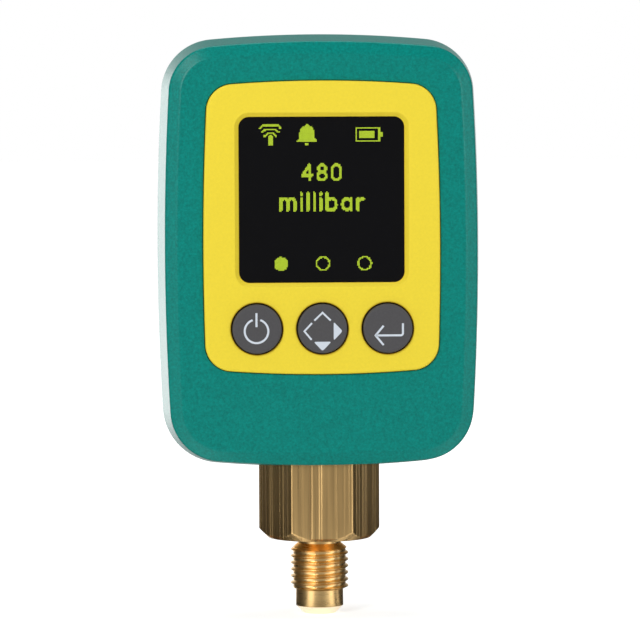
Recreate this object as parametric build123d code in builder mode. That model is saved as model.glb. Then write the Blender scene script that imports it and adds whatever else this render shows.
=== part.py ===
from build123d import *
import os

# A hand-sized digital vacuum gauge that stands on its brass flare thread.
# Millimetres. +Z is up, +X is right as seen from the front, and the display faces -Y.
# The origin is on the adapter's axis, at the lower end of its thread.
# Depths are Y coordinates: the covers part at depth 0, and the front has negative depths.

# Housing outline
housing_width = 61.0
housing_height = 82.0
housing_base = 23.4
side_bulge_radius = 530.0
end_bulge_radius = 225.0
top_corner_radius = 10.2
bottom_corner_radius = 11.0
wall = 2.2
edge_round = 0.3

# Housing depths
front_depth = -13.0
bevel_depth = 1.0
bevel_width = 2.2
draft_inset = 1.3
front_wall = 1.8
rear_depth = 14.5
rear_bevel_depth = 1.6
rear_bevel_width = 1.8
rear_wall = 2.0

# Front panel
panel_width = 44.2
panel_height = 54.7
panel_middle = 69.2
panel_corner_radius = 5.0
panel_rise = 0.7
panel_recess = 1.5
panel_edge_round = 0.5
panel_fit = 0.12
recess_floor = 1.3

# Display window
window_size = 30.9
window_middle = 74.4
window_corner_radius = 2.0
window_bevel = 0.8
window_lip = 1.0
lens_thickness = 0.9
lens_overlap = 1.0
lens_fit = 0.15
tape_width = 1.6
view_size = 28.4

# Keys and switches
key_spacing = 1.2
key_room = 0.45
key_radius = 4.6
key_hole_gap = 0.22
key_rise = 0.85
key_edge_round = 0.4
key_flange_width = 0.9
key_flange_thickness = 0.8
key_flange_gap = 0.05
key_travel = 0.4
switch_size = 6.0
switch_height = 1.9
plunger_radius = 1.2
plunger_gap = 0.15
plunger_engagement = 1.2

# Circuit board
board_width = 52.0
board_base = 40.4
board_top = 93.0
board_front = -6.6
board_thickness = 1.6
board_corner_radius = 1.5
post_radius = 2.4
post_x = 23.0
post_inset = 3.2
board_screw_radius = 0.95
board_screw_head_radius = 1.9
board_screw_head = 1.4
board_screw_length = 5.6
screw_clearance = 0.1

# Display module
display_size = 33.0
display_thickness = 1.5
display_fit = 0.15
holder_wall = 1.4
holder_web = 1.0
holder_rim = 2.0
ribbon_width = 14.0
ribbon_thickness = 0.3
ribbon_rise = 1.4
ribbon_bend = 0.6
connector_height = 2.0
connector_length = 4.0

# Battery bay and door
cell_radius = 5.25
cell_length = 44.5
cell_button_radius = 1.9
cell_button = 1.0
cell_edge_round = 0.5
cell_gap = 0.3
bay_wall = 2.3
bay_floor = 1.1
bay_base = 47.6
contact_room = 3.4
contact_thickness = 0.4
contact_width = 8.0
door_thickness = 1.8
door_overlap = 1.9
door_fit = 0.2
door_screw_room = 8.0
door_screw_height = 3.6
door_tab_width = 5.0
door_tab_length = 1.4
door_tab_thickness = 0.9
door_edge_chamfer = 0.4
seal_section = 0.8
seal_play = 0.05

# Screws and inserts
boss_x = 21.9
boss_inset = 8.6
front_boss_radius = 3.3
rear_boss_radius = 3.9
screw_radius = 1.5
screw_head_radius = 2.75
screw_head = 2.0
screw_sink = 5.4
screw_socket = 1.1
screw_end = -5.6
insert_radius = 2.3
insert_length = 6.0
insert_recess = 0.3
thread_play = 0.05

# Vacuum adapter: a quarter-inch flare with a 7/16-20 UNF thread
thread_radius = 5.53
thread_length = 8.9
thread_entry = 1.2
thread_end_rise = 0.5
neck_radius = 4.04
neck_length = 0.55
nose_radius = 4.5
nose_length = 3.12
cone_end_radius = 3.05
bore_radius = 2.4
hex_across_flats = 20.0
hex_top = 25.6
hex_corner_break = 0.15
shoulder_radius = 8.3
shoulder_rise = 0.4
hex_shoulder_rise = 2.6
hex_pocket_gap = 0.25
spigot_radius = 6.25
spigot_top = 36.0
flange_radius = 8.2
flange_base = 28.4
flange_thickness = 2.2
saddle_margin = 0.95
saddle_top = 32.2
saddle_gap = 0.1

# Sensor
socket_radius = 4.6
socket_base = 29.5
sensor_radius = 4.45
sensor_seal_thickness = 1.0
sensor_seal_bore = 2.6
sensor_head_radius = 4.2
sensor_top = 40.5
sensor_flange_radius = 5.7
sensor_flange = 0.8
sensor_inlet_radius = 1.0
sensor_inlet_depth = 2.0
sensor_nut_across_flats = 16.0
sensor_nut_base = 32.6
sensor_nut_lip = 0.9
pin_radius = 0.25
pin_hole_radius = 0.4
pin_circle_radius = 2.5
sensor_board_gap = 0.8
sensor_board_thickness = 1.0
sensor_board_width = 14.0
sensor_board_depth = 8.6

# Chips, as (width, height, thickness) and where their middles are, as (x, z)
processor_size = (9.0, 9.0, 1.2)
processor_place = (0.0, 76.0)
radio_size = (13.0, 17.0, 2.4)
radio_place = (-16.0, 76.0)
buzzer_radius = 5.0
buzzer_height = 3.0
buzzer_hole_radius = 0.9
buzzer_place = (15.5, 82.0)
capacitor_size = (1.6, 3.2, 1.4)
capacitor_places = [(x, 64.0) for x in (-9.0, -5.4, -1.8, 1.8, 5.4, 9.0)]
sensor_connector_size = (8.0, 3.0, 1.8)
sensor_ribbon_width = 6.0
sensor_ribbon_start = -2.3
lead_radius = 0.55
lead_bend = 0.8
lead_end_drop = 4.3
contact_tab_width = 1.6
contact_tab_reach = 1.1

# Worked-out places
housing_middle = housing_base + housing_height / 2
housing_top = housing_base + housing_height
front_edge = front_depth + bevel_depth
wall_back = front_depth + front_wall
recess_depth = front_depth + panel_recess
floor_back = recess_depth + recess_floor
panel_front = front_depth - panel_rise
lens_front = panel_front + window_lip
lens_back = lens_front + lens_thickness
lens_size = window_size + 2 * lens_overlap
key_front = panel_front - key_rise
flange_front = floor_back + key_flange_gap
flange_back = flange_front + key_flange_thickness
switch_top = board_front - switch_height
board_back = board_front + board_thickness
rear_edge = rear_depth - rear_bevel_depth
door_inner = rear_depth - door_thickness
cell_x = cell_radius + cell_gap / 2
cell_depth = door_inner - cell_gap - cell_radius
bay_width = 4 * cell_radius + 3 * cell_gap
bay_length = cell_length + contact_room
bay_top = bay_base + bay_length
bay_floor_back = cell_depth - cell_radius - cell_gap
bay_front = bay_floor_back - bay_floor
door_width = bay_width + 2 * door_overlap
door_base = bay_base - door_screw_room
door_top = bay_top + door_overlap
door_screw_z = door_base + door_screw_height
screw_seat = rear_depth - screw_sink
hex_base = thread_length + neck_length
hex_corner_radius = hex_across_flats / 3**0.5
cone_end = cone_end_radius - nose_radius - nose_length
display_back = floor_back + display_thickness
holder_size = display_size + 2 * display_fit + 2 * holder_wall
key_hole_radius = key_radius + key_hole_gap
key_flange_radius = key_radius + key_flange_width
key_pitch = 2 * key_flange_radius + key_spacing
key_middle = window_middle - holder_size / 2 - key_room - key_flange_radius
sensor_base = socket_base + sensor_seal_thickness
sensor_board_base = sensor_top + sensor_board_gap
sensor_board_top = sensor_board_base + sensor_board_thickness
saddle_half_width = hex_corner_radius + saddle_margin
saddle_base = housing_base + wall / 2
saddle_height = saddle_top - saddle_base
contact_z = bay_top - contact_thickness / 2
tab_x = cell_x + contact_width / 2 - contact_tab_width / 2
tab_end = bay_front - contact_tab_reach
lead_depth = (tab_end + board_back) / 2

boss_places = [
    (x, z)
    for x in (-boss_x, boss_x)
    for z in (housing_base + boss_inset, housing_top - boss_inset)
]
post_places = [
    (x, z)
    for x in (-post_x, post_x)
    for z in (board_base + post_inset, board_top - post_inset)
]
key_places = {"power": -key_pitch, "arrow": 0.0, "enter": key_pitch}


def facing(depth, height=0.0, across=0.0):
    """A plane at a depth that faces the front, with X to the right and Y up"""
    return Plane(origin=(across, depth, height), x_dir=(1, 0, 0), z_dir=(0, -1, 0))


def reach(start, end):
    """How far to extrude from a plane that faces the front, to go from one depth to another"""
    return start - end


def bulged_outline(width, height, corner_radii, inset):
    """The common area of four large discs with rounded corners, moved in evenly by inset"""
    top_radius, bottom_radius = corner_radii
    side_x = width / 2 - side_bulge_radius
    end_y = height / 2 - end_bulge_radius
    with BuildSketch() as outline:
        with Locations((side_x, 0)):
            Circle(side_bulge_radius - inset)
        with Locations((-side_x, 0)):
            Circle(side_bulge_radius - inset, mode=Mode.INTERSECT)
        for y in (end_y, -end_y):
            with Locations((0, y)):
                Circle(end_bulge_radius - inset, mode=Mode.INTERSECT)
        fillet(outline.vertices().sort_by(Axis.Y)[-2:], top_radius - inset)
        fillet(outline.vertices().sort_by(Axis.Y)[:2], bottom_radius - inset)
    return outline.sketch


def housing_outline(inset=0.0):
    """The housing's outline at the parting plane, moved in by inset"""
    corner_radii = (top_corner_radius, bottom_corner_radius)
    return bulged_outline(housing_width, housing_height, corner_radii, inset)


def panel_outline(inset=0.0):
    """The front panel's outline, moved in by inset"""
    corner_radii = (panel_corner_radius, panel_corner_radius)
    return bulged_outline(panel_width, panel_height, corner_radii, inset)


def drafted(depth):
    """How far the side walls have come in at a depth, by their draft"""
    return draft_inset * abs(depth) / abs(front_edge)


def ring_edges(piece, depth):
    """The edges that lie wholly at one depth"""
    return piece.edges().filter_by_position(Axis.Y, depth, depth)


def save(piece, name):
    """Label a finished piece and write its file"""
    piece.part.label = name
    export_step(piece.part, f"parts/{name}.step")


os.makedirs("parts", exist_ok=True)

# Space that the adapter needs in both covers: its hexagon, spigot and flange
with BuildPart() as adapter_space:
    with BuildSketch(Plane.XY.offset(housing_base - wall)):
        RegularPolygon(hex_across_flats / 2 + hex_pocket_gap, 6, major_radius=False)
    extrude(amount=hex_top - housing_base + wall)
    with BuildSketch(Plane.XY.offset(hex_top)):
        Circle(spigot_radius + saddle_gap)
    extrude(amount=saddle_top - hex_top + wall)
    with BuildSketch(Plane.XY.offset(flange_base - saddle_gap)):
        Circle(flange_radius + saddle_gap)
    extrude(amount=flange_thickness + 2 * saddle_gap)

# Front cover: a drafted, bevelled tray with the panel's recess, the view and the key holes
with BuildPart() as front_cover:
    with BuildSketch(facing(0, housing_middle)):
        add(housing_outline())
    with BuildSketch(facing(front_edge, housing_middle)):
        add(housing_outline(draft_inset))
    loft(ruled=True)
    with BuildSketch(facing(front_edge, housing_middle)):
        add(housing_outline(draft_inset))
    with BuildSketch(facing(front_depth, housing_middle)):
        add(housing_outline(draft_inset + bevel_width))
    loft(ruled=True)
    fillet(ring_edges(front_cover, front_edge) + ring_edges(front_cover, front_depth), edge_round)
    with BuildSketch(facing(0, housing_middle)):
        add(housing_outline(wall))
    with BuildSketch(facing(wall_back, housing_middle)):
        add(housing_outline(wall + drafted(wall_back)))
    loft(ruled=True, mode=Mode.SUBTRACT)
    # A thicker bed carries the front panel
    with BuildSketch(facing(wall_back, panel_middle)):
        add(panel_outline(-recess_floor))
    extrude(amount=reach(wall_back, floor_back))
    # Bosses for the housing screws and posts for the circuit board
    with BuildSketch(facing(wall_back)):
        with Locations(*boss_places):
            Circle(front_boss_radius)
    extrude(amount=reach(wall_back, 0))
    with BuildSketch(facing(wall_back)):
        with Locations(*post_places):
            Circle(post_radius)
    extrude(amount=reach(wall_back, board_front))
    # Saddle that holds the adapter's flange
    with BuildSketch(facing(wall_back, saddle_base + saddle_height / 2)):
        Rectangle(2 * saddle_half_width, saddle_height)
    extrude(amount=reach(wall_back, 0))
    add(adapter_space.part, mode=Mode.SUBTRACT)
    # Recess, view and key holes
    with BuildSketch(facing(front_depth, panel_middle)):
        add(panel_outline(-panel_fit))
    extrude(amount=reach(front_depth, recess_depth), mode=Mode.SUBTRACT)
    with BuildSketch(facing(recess_depth)):
        with Locations((0, window_middle)):
            RectangleRounded(view_size, view_size, window_corner_radius)
        with Locations(*[(x, key_middle) for x in key_places.values()]):
            Circle(key_hole_radius)
    extrude(amount=reach(recess_depth, floor_back), mode=Mode.SUBTRACT)
    # Pockets for the inserts and pilot holes for the board screws
    with BuildSketch(facing(0)):
        with Locations(*boss_places):
            Circle(insert_radius)
    extrude(amount=insert_length + insert_recess, mode=Mode.SUBTRACT)
    with BuildSketch(facing(board_front)):
        with Locations(*post_places):
            Circle(board_screw_radius + screw_clearance)
    extrude(amount=board_screw_length - board_thickness + screw_clearance, mode=Mode.SUBTRACT)
save(front_cover, "front_cover")

# Front panel: stands a little proud, with a sloping edge down to the window
with BuildPart() as front_panel:
    with BuildSketch(facing(recess_depth, panel_middle)):
        add(panel_outline())
    extrude(amount=reach(recess_depth, panel_front))
    fillet(front_panel.edges().group_by(Axis.Y)[0], panel_edge_round)
    with BuildSketch(facing(recess_depth, window_middle)):
        RectangleRounded(
            lens_size + 2 * lens_fit, lens_size + 2 * lens_fit, window_corner_radius
        )
    extrude(amount=reach(recess_depth, lens_front), mode=Mode.SUBTRACT)
    with BuildSketch(facing(lens_front, window_middle)):
        RectangleRounded(window_size, window_size, window_corner_radius)
    extrude(amount=window_lip, mode=Mode.SUBTRACT)
    window_edges = front_panel.edges().group_by(Axis.Y)[0].sort_by(Axis.Z)
    window_edges = window_edges.filter_by(
        lambda edge: abs(edge.center().Z - window_middle) < window_size / 2 + window_bevel
        and abs(edge.center().X) < window_size / 2 + window_bevel
    )
    chamfer(window_edges, window_bevel)
    with BuildSketch(facing(recess_depth)):
        with Locations(*[(x, key_middle) for x in key_places.values()]):
            Circle(key_hole_radius)
    extrude(amount=reach(recess_depth, panel_front), mode=Mode.SUBTRACT)
save(front_panel, "front_panel")

# Display window: a dark lens held behind the panel's lip
with BuildPart() as display_window:
    with BuildSketch(facing(lens_back, window_middle)):
        RectangleRounded(lens_size, lens_size, window_corner_radius - lens_fit)
    extrude(amount=lens_thickness)
save(display_window, "display_window")

# Window tape: a thin frame that bonds the lens to the cover
with BuildPart() as window_tape:
    with BuildSketch(facing(recess_depth, window_middle)):
        RectangleRounded(lens_size, lens_size, window_corner_radius - lens_fit)
        RectangleRounded(
            lens_size - 2 * tape_width,
            lens_size - 2 * tape_width,
            window_corner_radius,
            mode=Mode.SUBTRACT,
        )
    extrude(amount=reach(recess_depth, lens_back))
save(window_tape, "window_tape")

# Display panel: the glass module behind the view
with BuildPart() as display_panel:
    with BuildSketch(facing(display_back, window_middle)):
        Rectangle(display_size, display_size)
    extrude(amount=display_thickness)
save(display_panel, "display_panel")

# Display holder: a frame between the cover and the board, with a web under the glass
with BuildPart() as display_holder:
    pocket_size = display_size + 2 * display_fit
    with BuildSketch(facing(board_front, window_middle)):
        RectangleRounded(holder_size, holder_size, holder_wall)
    extrude(amount=reach(board_front, floor_back))
    with BuildSketch(facing(display_back, window_middle)):
        Rectangle(pocket_size, pocket_size)
    extrude(amount=display_thickness, mode=Mode.SUBTRACT)
    with BuildSketch(facing(board_front, window_middle)):
        Rectangle(pocket_size - 2 * holder_rim, pocket_size - 2 * holder_rim)
    extrude(amount=reach(board_front, display_back + holder_web), mode=Mode.SUBTRACT)
    with BuildSketch(facing(display_back, window_middle + holder_size / 2)):
        Rectangle(ribbon_width + holder_web, 4 * holder_wall)
    extrude(amount=display_thickness, mode=Mode.SUBTRACT)
save(display_holder, "display_holder")

# Display ribbon: leaves the glass, bends over the top of the board and goes down its back
ribbon_y = floor_back + display_thickness / 2
ribbon_back_y = board_back + connector_height / 2
ribbon_foot = window_middle + display_size / 2
ribbon_top = board_top + ribbon_rise
connector_top = ribbon_foot - ribbon_rise
with BuildPart() as display_ribbon:
    with BuildSketch(Plane.YZ):
        with BuildLine():
            FilletPolyline(
                (ribbon_y, ribbon_foot),
                (ribbon_y, ribbon_top),
                (ribbon_back_y, ribbon_top),
                (ribbon_back_y, connector_top),
                radius=ribbon_bend,
            )
        trace(line_width=ribbon_thickness)
    extrude(amount=ribbon_width / 2, both=True)
save(display_ribbon, "display_ribbon")

# Display connector, on the back of the board
with BuildPart() as display_connector:
    with BuildSketch(facing(board_back, connector_top - connector_length / 2)):
        Rectangle(ribbon_width + connector_length, connector_length)
    extrude(amount=-connector_height)
save(display_connector, "display_connector")

# Circuit board
with BuildPart() as circuit_board:
    with BuildSketch(facing(board_back)):
        with Locations((0, (board_base + board_top) / 2)):
            RectangleRounded(board_width, board_top - board_base, board_corner_radius)
        with Locations(*post_places):
            Circle(board_screw_radius + screw_clearance, mode=Mode.SUBTRACT)
    extrude(amount=board_thickness)
save(circuit_board, "circuit_board")

# Board screws, one for each post
with BuildPart() as board_screws:
    with BuildSketch(facing(board_back)):
        with Locations(*post_places):
            Circle(board_screw_head_radius)
    extrude(amount=-board_screw_head)
    with BuildSketch(facing(board_back)):
        with Locations(*post_places):
            Circle(board_screw_radius)
    extrude(amount=board_screw_length)
save(board_screws, "board_screws")

# Keys, switches and their plungers: each plunger reaches from the key's flange into its switch
for key_name, key_x in key_places.items():
    with BuildPart() as key:
        with BuildSketch(facing(flange_back, key_middle, key_x)):
            Circle(key_flange_radius)
        extrude(amount=key_flange_thickness)
        with BuildSketch(facing(flange_front, key_middle, key_x)):
            Circle(key_radius)
        extrude(amount=reach(flange_front, key_front))
        fillet(key.edges().group_by(Axis.Y)[0], key_edge_round)
    save(key, f"{key_name}_key")

    with BuildPart() as plunger:
        with BuildSketch(facing(switch_top + plunger_engagement, key_middle, key_x)):
            Circle(plunger_radius)
        extrude(amount=reach(switch_top + plunger_engagement, flange_back))
    save(plunger, f"{key_name}_plunger")

    with BuildPart() as switch:
        with BuildSketch(facing(board_front, key_middle, key_x)):
            Rectangle(switch_size, switch_size)
        extrude(amount=switch_height)
        chamfer(switch.edges().filter_by(Axis.Y), switch_size / 10)
        with BuildSketch(facing(switch_top, key_middle, key_x)):
            Circle(plunger_radius + plunger_gap)
        extrude(amount=-(plunger_engagement + key_travel + plunger_gap), mode=Mode.SUBTRACT)
    save(switch, f"{key_name}_switch")

# Chips on the back of the board
with BuildPart() as processor_chip:
    with BuildSketch(facing(board_back, processor_place[1], processor_place[0])):
        Rectangle(processor_size[0], processor_size[1])
    extrude(amount=-processor_size[2])
save(processor_chip, "processor_chip")

with BuildPart() as radio_module:
    with BuildSketch(facing(board_back, radio_place[1], radio_place[0])):
        Rectangle(radio_size[0], radio_size[1])
    extrude(amount=-radio_size[2] / 3)
    with BuildSketch(facing(board_back + radio_size[2] / 3, radio_place[1], radio_place[0])):
        with Locations((0, -radio_size[1] / 8)):
            Rectangle(radio_size[0] * 0.86, radio_size[1] * 0.66)
    extrude(amount=-radio_size[2] * 2 / 3)
save(radio_module, "radio_module")

with BuildPart() as buzzer:
    with BuildSketch(facing(board_back, buzzer_place[1], buzzer_place[0])):
        Circle(buzzer_radius)
    extrude(amount=-buzzer_height)
    with BuildSketch(facing(board_back + buzzer_height, buzzer_place[1], buzzer_place[0])):
        Circle(buzzer_hole_radius)
    extrude(amount=buzzer_height / 2, mode=Mode.SUBTRACT)
save(buzzer, "buzzer")

with BuildPart() as capacitors:
    with BuildSketch(facing(board_back)):
        with Locations(*capacitor_places):
            Rectangle(capacitor_size[0], capacitor_size[1])
    extrude(amount=-capacitor_size[2])
save(capacitors, "capacitors")

# Rear cover: a drafted, bevelled tray with the battery bay and the screw bosses
with BuildPart() as rear_cover:
    with BuildSketch(facing(0, housing_middle)):
        add(housing_outline())
    with BuildSketch(facing(rear_edge, housing_middle)):
        add(housing_outline(drafted(rear_edge)))
    loft(ruled=True)
    with BuildSketch(facing(rear_edge, housing_middle)):
        add(housing_outline(drafted(rear_edge)))
    with BuildSketch(facing(rear_depth, housing_middle)):
        add(housing_outline(drafted(rear_edge) + rear_bevel_width))
    loft(ruled=True)
    fillet(ring_edges(rear_cover, rear_edge) + ring_edges(rear_cover, rear_depth), edge_round)
    rear_inner = rear_depth - rear_wall
    with BuildSketch(facing(0, housing_middle)):
        add(housing_outline(wall))
    with BuildSketch(facing(rear_inner, housing_middle)):
        add(housing_outline(wall + drafted(rear_inner)))
    loft(ruled=True, mode=Mode.SUBTRACT)
    # Bosses for the housing screws
    with BuildSketch(facing(rear_inner)):
        with Locations(*boss_places):
            Circle(rear_boss_radius)
    extrude(amount=rear_inner)
    # Walls and floor of the battery bay, and the thick seat under the door's screw end
    with BuildSketch(facing(rear_inner, (bay_base + bay_top) / 2)):
        Rectangle(bay_width + 2 * bay_wall, bay_length + 2 * bay_wall)
    extrude(amount=reach(rear_inner, bay_front))
    seat_top = bay_base - bay_wall
    seat_base = door_base - bay_wall
    with BuildSketch(facing(rear_inner, (seat_base + seat_top) / 2)):
        Rectangle(bay_width + 2 * bay_wall, seat_top - seat_base)
    extrude(amount=rear_wall)
    with BuildSketch(facing(door_inner, door_screw_z)):
        Circle(insert_radius + wall / 2)
    extrude(amount=insert_length)
    # Saddle that closes round the adapter's flange
    with BuildSketch(facing(0, saddle_base + saddle_height / 2)):
        Rectangle(2 * saddle_half_width, saddle_height)
    extrude(amount=-rear_inner)
    add(adapter_space.part, mode=Mode.SUBTRACT)
    # The bay itself, and the rebate that the door lies in
    with BuildSketch(facing(bay_floor_back, (bay_base + bay_top) / 2)):
        Rectangle(bay_width, bay_length)
    extrude(amount=reach(bay_floor_back, rear_depth), mode=Mode.SUBTRACT)
    with BuildSketch(facing(door_inner, (door_base + door_top) / 2)):
        RectangleRounded(
            door_width + 2 * door_fit, door_top - door_base + 2 * door_fit, door_overlap
        )
    extrude(amount=-door_thickness, mode=Mode.SUBTRACT)
    # Slots for the contacts' tabs
    with BuildSketch(facing(bay_floor_back, contact_z)):
        with Locations((-tab_x, 0), (tab_x, 0)):
            Rectangle(contact_tab_width + 2 * door_fit, contact_thickness + 2 * door_fit)
    extrude(amount=bay_floor, mode=Mode.SUBTRACT)
    # Slots for the door's tabs
    with BuildSketch(facing(door_inner + door_fit + door_tab_thickness, door_top)):
        with Locations((-bay_width / 4, 0), (bay_width / 4, 0)):
            Rectangle(door_tab_width + 2 * door_fit, 2 * (door_tab_length + door_fit))
    extrude(amount=door_tab_thickness + 2 * door_fit, mode=Mode.SUBTRACT)
    # Counterbored screw holes and the door screw's pocket
    with BuildSketch(facing(rear_depth)):
        with Locations(*boss_places):
            Circle(screw_head_radius + door_fit)
    extrude(amount=screw_sink, mode=Mode.SUBTRACT)
    with BuildSketch(facing(screw_seat)):
        with Locations(*boss_places):
            Circle(screw_radius + 2 * screw_clearance)
    extrude(amount=screw_seat, mode=Mode.SUBTRACT)
    with BuildSketch(facing(door_inner, door_screw_z)):
        Circle(insert_radius)
    extrude(amount=insert_length - wall / 2, mode=Mode.SUBTRACT)
    # Grooves for the housing seal and the door seal
    groove_middle = wall / 2
    with BuildSketch(facing(0, housing_middle)):
        add(housing_outline(groove_middle - seal_section / 2))
        add(housing_outline(groove_middle + seal_section / 2), mode=Mode.SUBTRACT)
        with Locations((0, -housing_height / 2)):
            Rectangle(2 * saddle_half_width, 4 * wall, mode=Mode.SUBTRACT)
    extrude(amount=-seal_section, mode=Mode.SUBTRACT)
    seal_ring = bay_width + door_overlap
    seal_ring_length = bay_length + door_overlap
    with BuildSketch(facing(door_inner, (bay_base + bay_top) / 2)):
        Rectangle(seal_ring + seal_section, seal_ring_length + seal_section)
        Rectangle(
            seal_ring - seal_section, seal_ring_length - seal_section, mode=Mode.SUBTRACT
        )
    extrude(amount=seal_section, mode=Mode.SUBTRACT)
save(rear_cover, "rear_cover")

# Housing seal: a cord in the rear cover's groove, open where the adapter passes
with BuildPart() as housing_seal:
    seal_half = seal_section / 2 - seal_play
    with BuildSketch(facing(0, housing_middle)):
        add(housing_outline(groove_middle - seal_half))
        add(housing_outline(groove_middle + seal_half), mode=Mode.SUBTRACT)
        with Locations((0, -housing_height / 2)):
            Rectangle(
                2 * (saddle_half_width + seal_play), 4 * wall, mode=Mode.SUBTRACT
            )
    extrude(amount=-seal_section)
save(housing_seal, "housing_seal")

# Threaded inserts in the front cover's bosses
with BuildPart() as cover_inserts:
    with BuildSketch(facing(-insert_recess)):
        with Locations(*boss_places):
            Circle(insert_radius)
            Circle(screw_radius + thread_play, mode=Mode.SUBTRACT)
    extrude(amount=insert_length)
save(cover_inserts, "cover_inserts")

# Housing screws, with hexagon sockets towards the back
with BuildPart() as housing_screws:
    with BuildSketch(facing(screw_seat)):
        with Locations(*boss_places):
            Circle(screw_radius)
    extrude(amount=reach(screw_seat, screw_end))
    with BuildSketch(facing(screw_seat)):
        with Locations(*boss_places):
            Circle(screw_head_radius)
    extrude(amount=-screw_head)
    with BuildSketch(facing(screw_seat + screw_head)):
        with Locations(*boss_places):
            RegularPolygon(screw_socket, 6)
    extrude(amount=screw_socket, mode=Mode.SUBTRACT)
save(housing_screws, "housing_screws")

# Battery door: a plate with two tabs at the top and a countersunk hole at the bottom
with BuildPart() as battery_door:
    with BuildSketch(facing(door_inner, (door_base + door_top) / 2)):
        RectangleRounded(door_width, door_top - door_base, door_overlap - door_fit)
    extrude(amount=-door_thickness)
    chamfer(battery_door.faces().sort_by(Axis.Y)[-1].edges(), door_edge_chamfer)
    with BuildSketch(facing(door_inner + door_tab_thickness, door_top)):
        with Locations((-bay_width / 4, 0), (bay_width / 4, 0)):
            Rectangle(door_tab_width, 2 * door_tab_length)
    extrude(amount=door_tab_thickness)
    with Locations(Plane(origin=(0, rear_depth, door_screw_z), z_dir=(0, 1, 0))):
        CounterSinkHole(
            screw_radius + 2 * screw_clearance,
            screw_head_radius + screw_clearance,
            counter_sink_angle=90,
        )
save(battery_door, "battery_door")

# Door seal: a frame in the groove round the bay's mouth
with BuildPart() as door_seal:
    with BuildSketch(facing(door_inner, (bay_base + bay_top) / 2)):
        Rectangle(seal_ring + 2 * seal_half, seal_ring_length + 2 * seal_half)
        Rectangle(
            seal_ring - 2 * seal_half, seal_ring_length - 2 * seal_half, mode=Mode.SUBTRACT
        )
    extrude(amount=seal_section)
save(door_seal, "door_seal")

# Door screw and its insert
with BuildPart() as door_screw:
    head_cone = screw_head_radius - screw_radius
    with BuildSketch(Plane.XY.offset(door_screw_z)) as screw_profile:
        with BuildLine():
            Polyline(
                (0, rear_depth),
                (screw_head_radius, rear_depth),
                (screw_radius, rear_depth - head_cone),
                (screw_radius, door_inner - insert_length + wall),
                (0, door_inner - insert_length + wall),
                close=True,
            )
        make_face()
    revolve(axis=Axis((0, 0, door_screw_z), (0, 1, 0)))
    with BuildSketch(facing(rear_depth, door_screw_z)):
        RegularPolygon(screw_socket, 6)
    extrude(amount=screw_socket, mode=Mode.SUBTRACT)
save(door_screw, "door_screw")

with BuildPart() as door_insert:
    with BuildSketch(facing(door_inner, door_screw_z)):
        Circle(insert_radius)
        Circle(screw_radius + thread_play, mode=Mode.SUBTRACT)
    extrude(amount=insert_length - wall)
save(door_insert, "door_insert")

# Cells: the left one stands button up, the right one button down
cell_feet = {
    "left_cell": (-cell_x, bay_top - contact_thickness - cell_length, 1),
    "right_cell": (cell_x, bay_base + contact_thickness + cell_length, -1),
}
for cell_name, (x, foot, way) in cell_feet.items():
    with BuildPart() as cell:
        with BuildSketch(Plane(origin=(x, cell_depth, foot), z_dir=(0, 0, way))):
            Circle(cell_radius)
        extrude(amount=cell_length - cell_button)
        fillet(cell.edges().filter_by(GeomType.CIRCLE), cell_edge_round)
        button_foot = foot + way * (cell_length - cell_button)
        with BuildSketch(Plane(origin=(x, cell_depth, button_foot), z_dir=(0, 0, way))):
            Circle(cell_button_radius)
        extrude(amount=cell_button)
    save(cell, cell_name)


def leaf_outline(x, foot, way, arm_rise):
    """A contact's side view: a plate on the bay's end wall and a bent leaf under the cell"""
    half = contact_thickness / 2
    left = x - contact_width / 2 + contact_thickness
    right = x + contact_width / 2 - contact_thickness
    with BuildSketch() as leaf:
        with BuildLine():
            Polyline(
                (left, foot + way * half),
                (right, foot + way * half),
                (right - contact_thickness, foot + way * arm_rise / 2),
                (x, foot + way * (arm_rise - half)),
                (left + contact_width / 4, foot + way * (arm_rise - half)),
            )
        trace(line_width=contact_thickness)
    return leaf.sketch


arm_rise = bay_length - contact_thickness - cell_length
with BuildPart() as positive_contact:
    with BuildSketch(facing(cell_depth, contact_z, -cell_x)):
        Rectangle(contact_width, contact_thickness)
    extrude(amount=contact_width / 2, both=True)
    with BuildSketch(facing(cell_depth, contact_z, -tab_x)):
        Rectangle(contact_tab_width, contact_thickness)
    extrude(amount=reach(cell_depth, tab_end))
save(positive_contact, "positive_contact")

with BuildPart() as negative_contact:
    with BuildSketch(facing(cell_depth)):
        add(leaf_outline(cell_x, bay_top, -1, arm_rise))
        with Locations((cell_x, contact_z)):
            Rectangle(contact_width, contact_thickness)
    extrude(amount=contact_width / 2, both=True)
    with BuildSketch(facing(cell_depth, contact_z, tab_x)):
        Rectangle(contact_tab_width, contact_thickness)
    extrude(amount=reach(cell_depth, tab_end))
save(negative_contact, "negative_contact")

with BuildPart() as bridge_contact:
    with BuildSketch(facing(cell_depth)):
        add(leaf_outline(-cell_x, bay_base, 1, arm_rise))
        with Locations((0, bay_base + contact_thickness / 2)):
            Rectangle(2 * cell_x + contact_width, contact_thickness)
    extrude(amount=contact_width / 2, both=True)
save(bridge_contact, "bridge_contact")

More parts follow.
